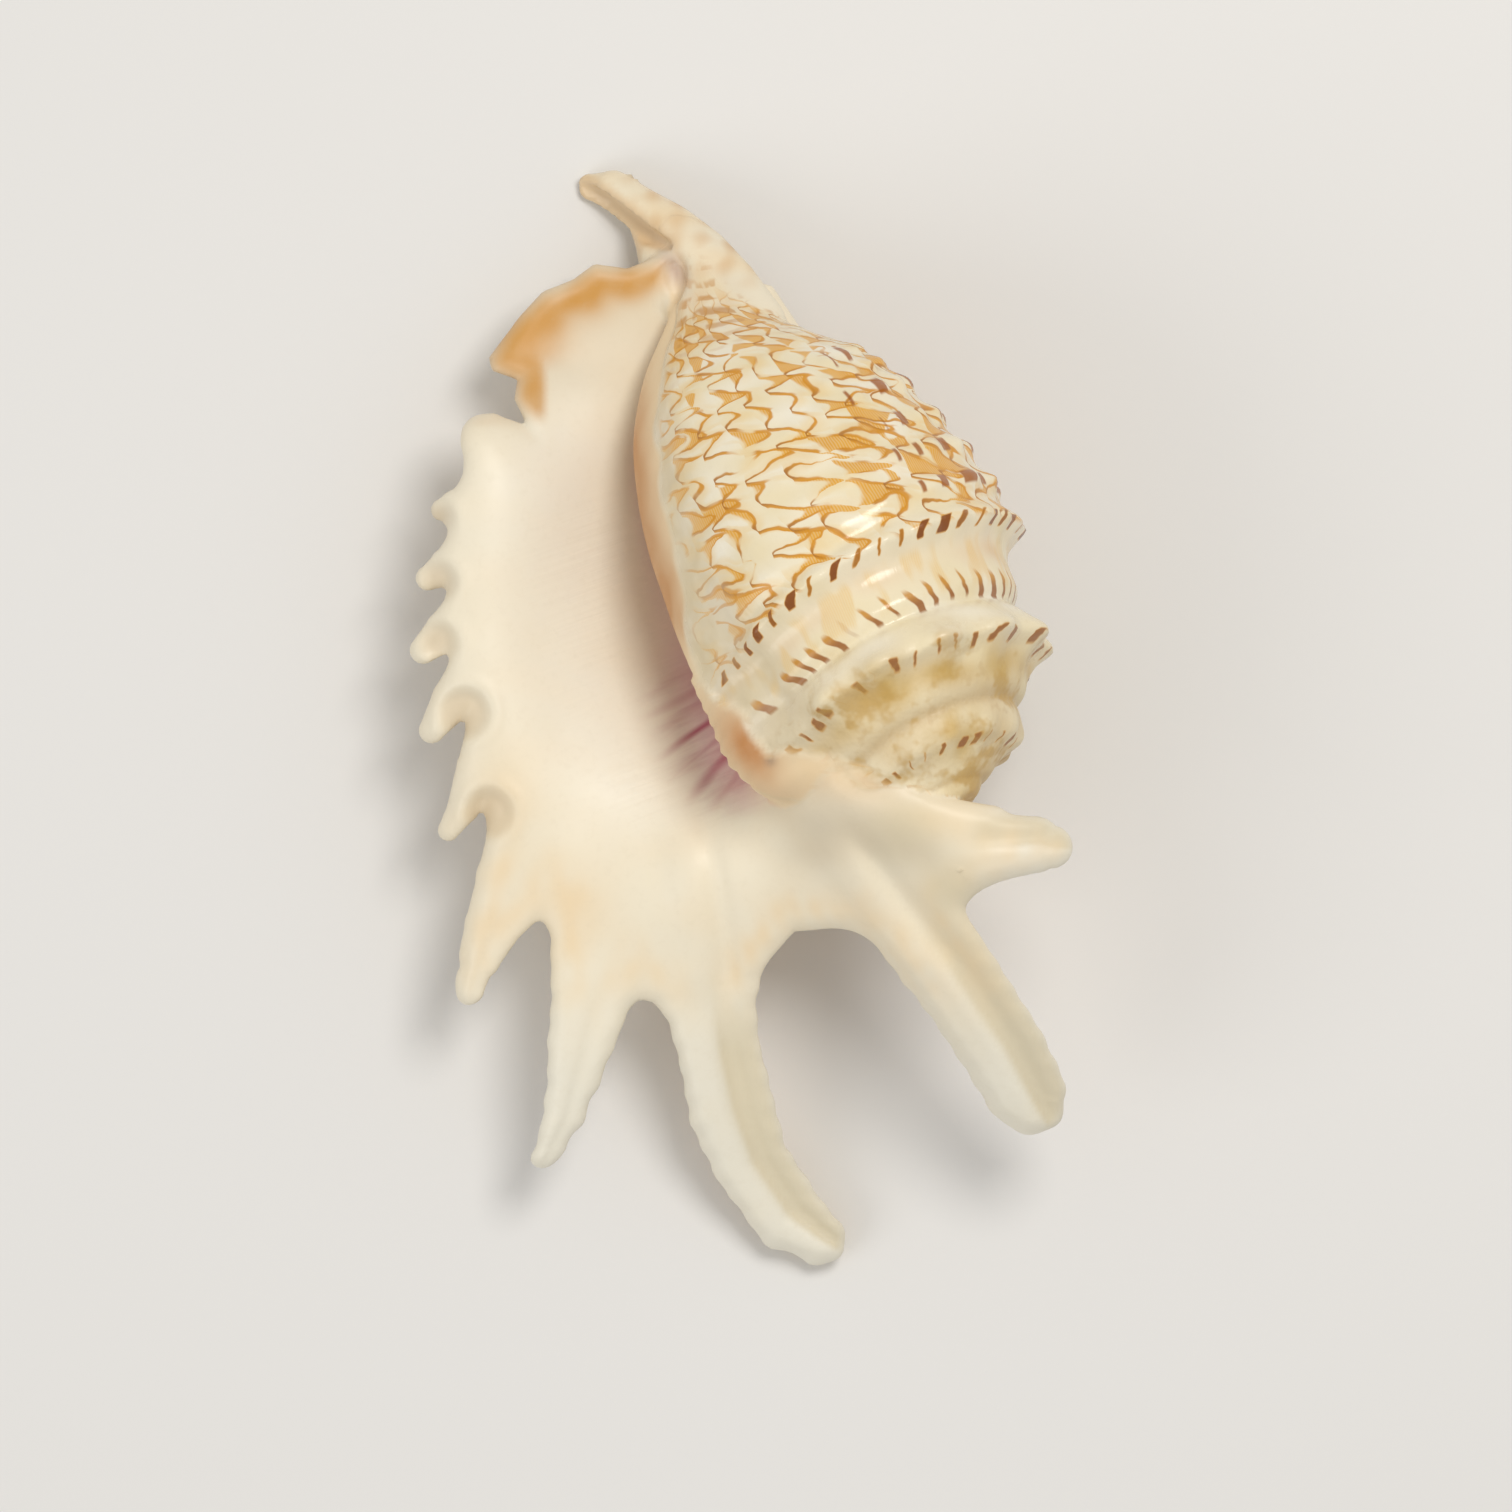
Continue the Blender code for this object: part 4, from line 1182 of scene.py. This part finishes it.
def relief(n):
    """Growth lines, wrinkles by the throat and a worn spire, in millimetres."""
    growing = n.noise(n.point(n.mul(n.growth, 1.1), n.mul(n.height, 0.06), 0), 1)
    total = n.mul(growing, n.sub(1, n.porcelain), 0.05)
    wrinkle = n.noise(n.point(n.mul(n.down, 0.9), n.mul(n.out, 0.05), 4), 1)
    total = n.add(total, n.mul(wrinkle, n.throat, 0.16))
    crinkle = n.mul(n.step(-36, -52, n.angle), n.coil, n.step(12, 20, n.height))
    total = n.add(total, n.mul(n.noise(n.place, 330, 1), crinkle, 0.26))
    total = n.add(total, n.mul(n.noise(n.place, 500), n.old, 0.25))
    return n.add(total, n.dents)


def shell_material():
    material = bpy.data.materials.new("shell_skin")
    n = Skin(material)
    colour = n.attribute("tint", "Color")
    for marking in (zigzags, keel_blocks, cord_spots, ramp_strokes, keel_spots,
                    canal_strokes, throat_streaks, stains):
        colour = marking(n, colour)
    n.link(colour, n.shader.inputs["Base Color"])
    n.link(roughness(n), n.shader.inputs["Roughness"])
    n.shader.inputs["Specular IOR Level"].default_value = 0.4
    bump = n.new("Bump")
    bump.inputs["Strength"].default_value = 1.0
    bump.inputs["Distance"].default_value = MM
    n.link(relief(n), bump.inputs["Height"])
    n.link(bump.outputs[0], n.shader.inputs["Normal"])
    return material


PAPER = (0.797, 0.787, 0.767)
FLOOR_HALF = 3.0  # metres
FRAME_WIDTH = 0.199
MIDDLE_HEIGHT = 27  # of the shell, above the floor
SKY_WHITE = (1.0, 0.985, 0.96)
SKY_STRENGTH = 0.5


def floor_material():
    material = bpy.data.materials.new("floor_paper")
    shader = Nodes(material).shader
    shader.inputs["Base Color"].default_value = (*PAPER, 1)
    shader.inputs["Roughness"].default_value = 0.8
    shader.inputs["Specular IOR Level"].default_value = 0.2
    return material


def add_floor(height):
    mesh = bpy.data.meshes.new("floor")
    sides = ((-1, -1), (1, -1), (1, 1), (-1, 1))
    corners = [(a * FLOOR_HALF, b * FLOOR_HALF, height) for a, b in sides]
    mesh.from_pydata(corners, [], [(0, 1, 2, 3)])
    mesh.materials.append(floor_material())
    floor = bpy.data.objects.new("floor", mesh)
    bpy.context.scene.collection.objects.link(floor)


def add_camera(target, width):
    data = bpy.data.cameras.new("camera")
    data.lens = 480
    data.clip_start = 0.05
    distance = width * data.lens / data.sensor_width
    camera = bpy.data.objects.new("camera", data)
    camera.location = target + Vector((0, 0, distance))
    bpy.context.scene.collection.objects.link(camera)
    bpy.context.scene.camera = camera


def add_lamp(name, target, toward, distance, size, power, colour=(1, 1, 1)):
    data = bpy.data.lights.new(name, "AREA")
    data.shape = "DISK"
    data.size = size
    data.energy = power
    data.color = colour
    lamp = bpy.data.objects.new(name, data)
    toward = Vector(toward).normalized()
    lamp.location = target + toward * distance
    lamp.rotation_mode = "QUATERNION"
    lamp.rotation_quaternion = toward.to_track_quat("Z", "Y")
    bpy.context.scene.collection.objects.link(lamp)


def add_sky():
    world = bpy.data.worlds.new("studio")
    bpy.context.scene.world = world
    world.use_nodes = True
    background = world.node_tree.nodes["Background"]
    background.inputs["Color"].default_value = (*SKY_WHITE, 1)
    background.inputs["Strength"].default_value = SKY_STRENGTH


def main():
    shell_piece, shift = build_shell()
    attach(shell_piece, "root")
    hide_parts("shell")
    add_floor(cad_low.z)
    bpy.context.scene.view_settings.view_transform = "Standard"
    middle = Vector((shift[0], shift[1], MIDDLE_HEIGHT)) * MM
    add_camera(middle, FRAME_WIDTH)
    add_lamp("key", middle, (0.26, 0.34, 0.9), 0.8, 0.32, 3.0, (1.0, 0.975, 0.94))
    add_lamp("fill", middle, (-0.7, -0.4, 0.6), 0.9, 0.6, 1.7)
    add_sky()


main()
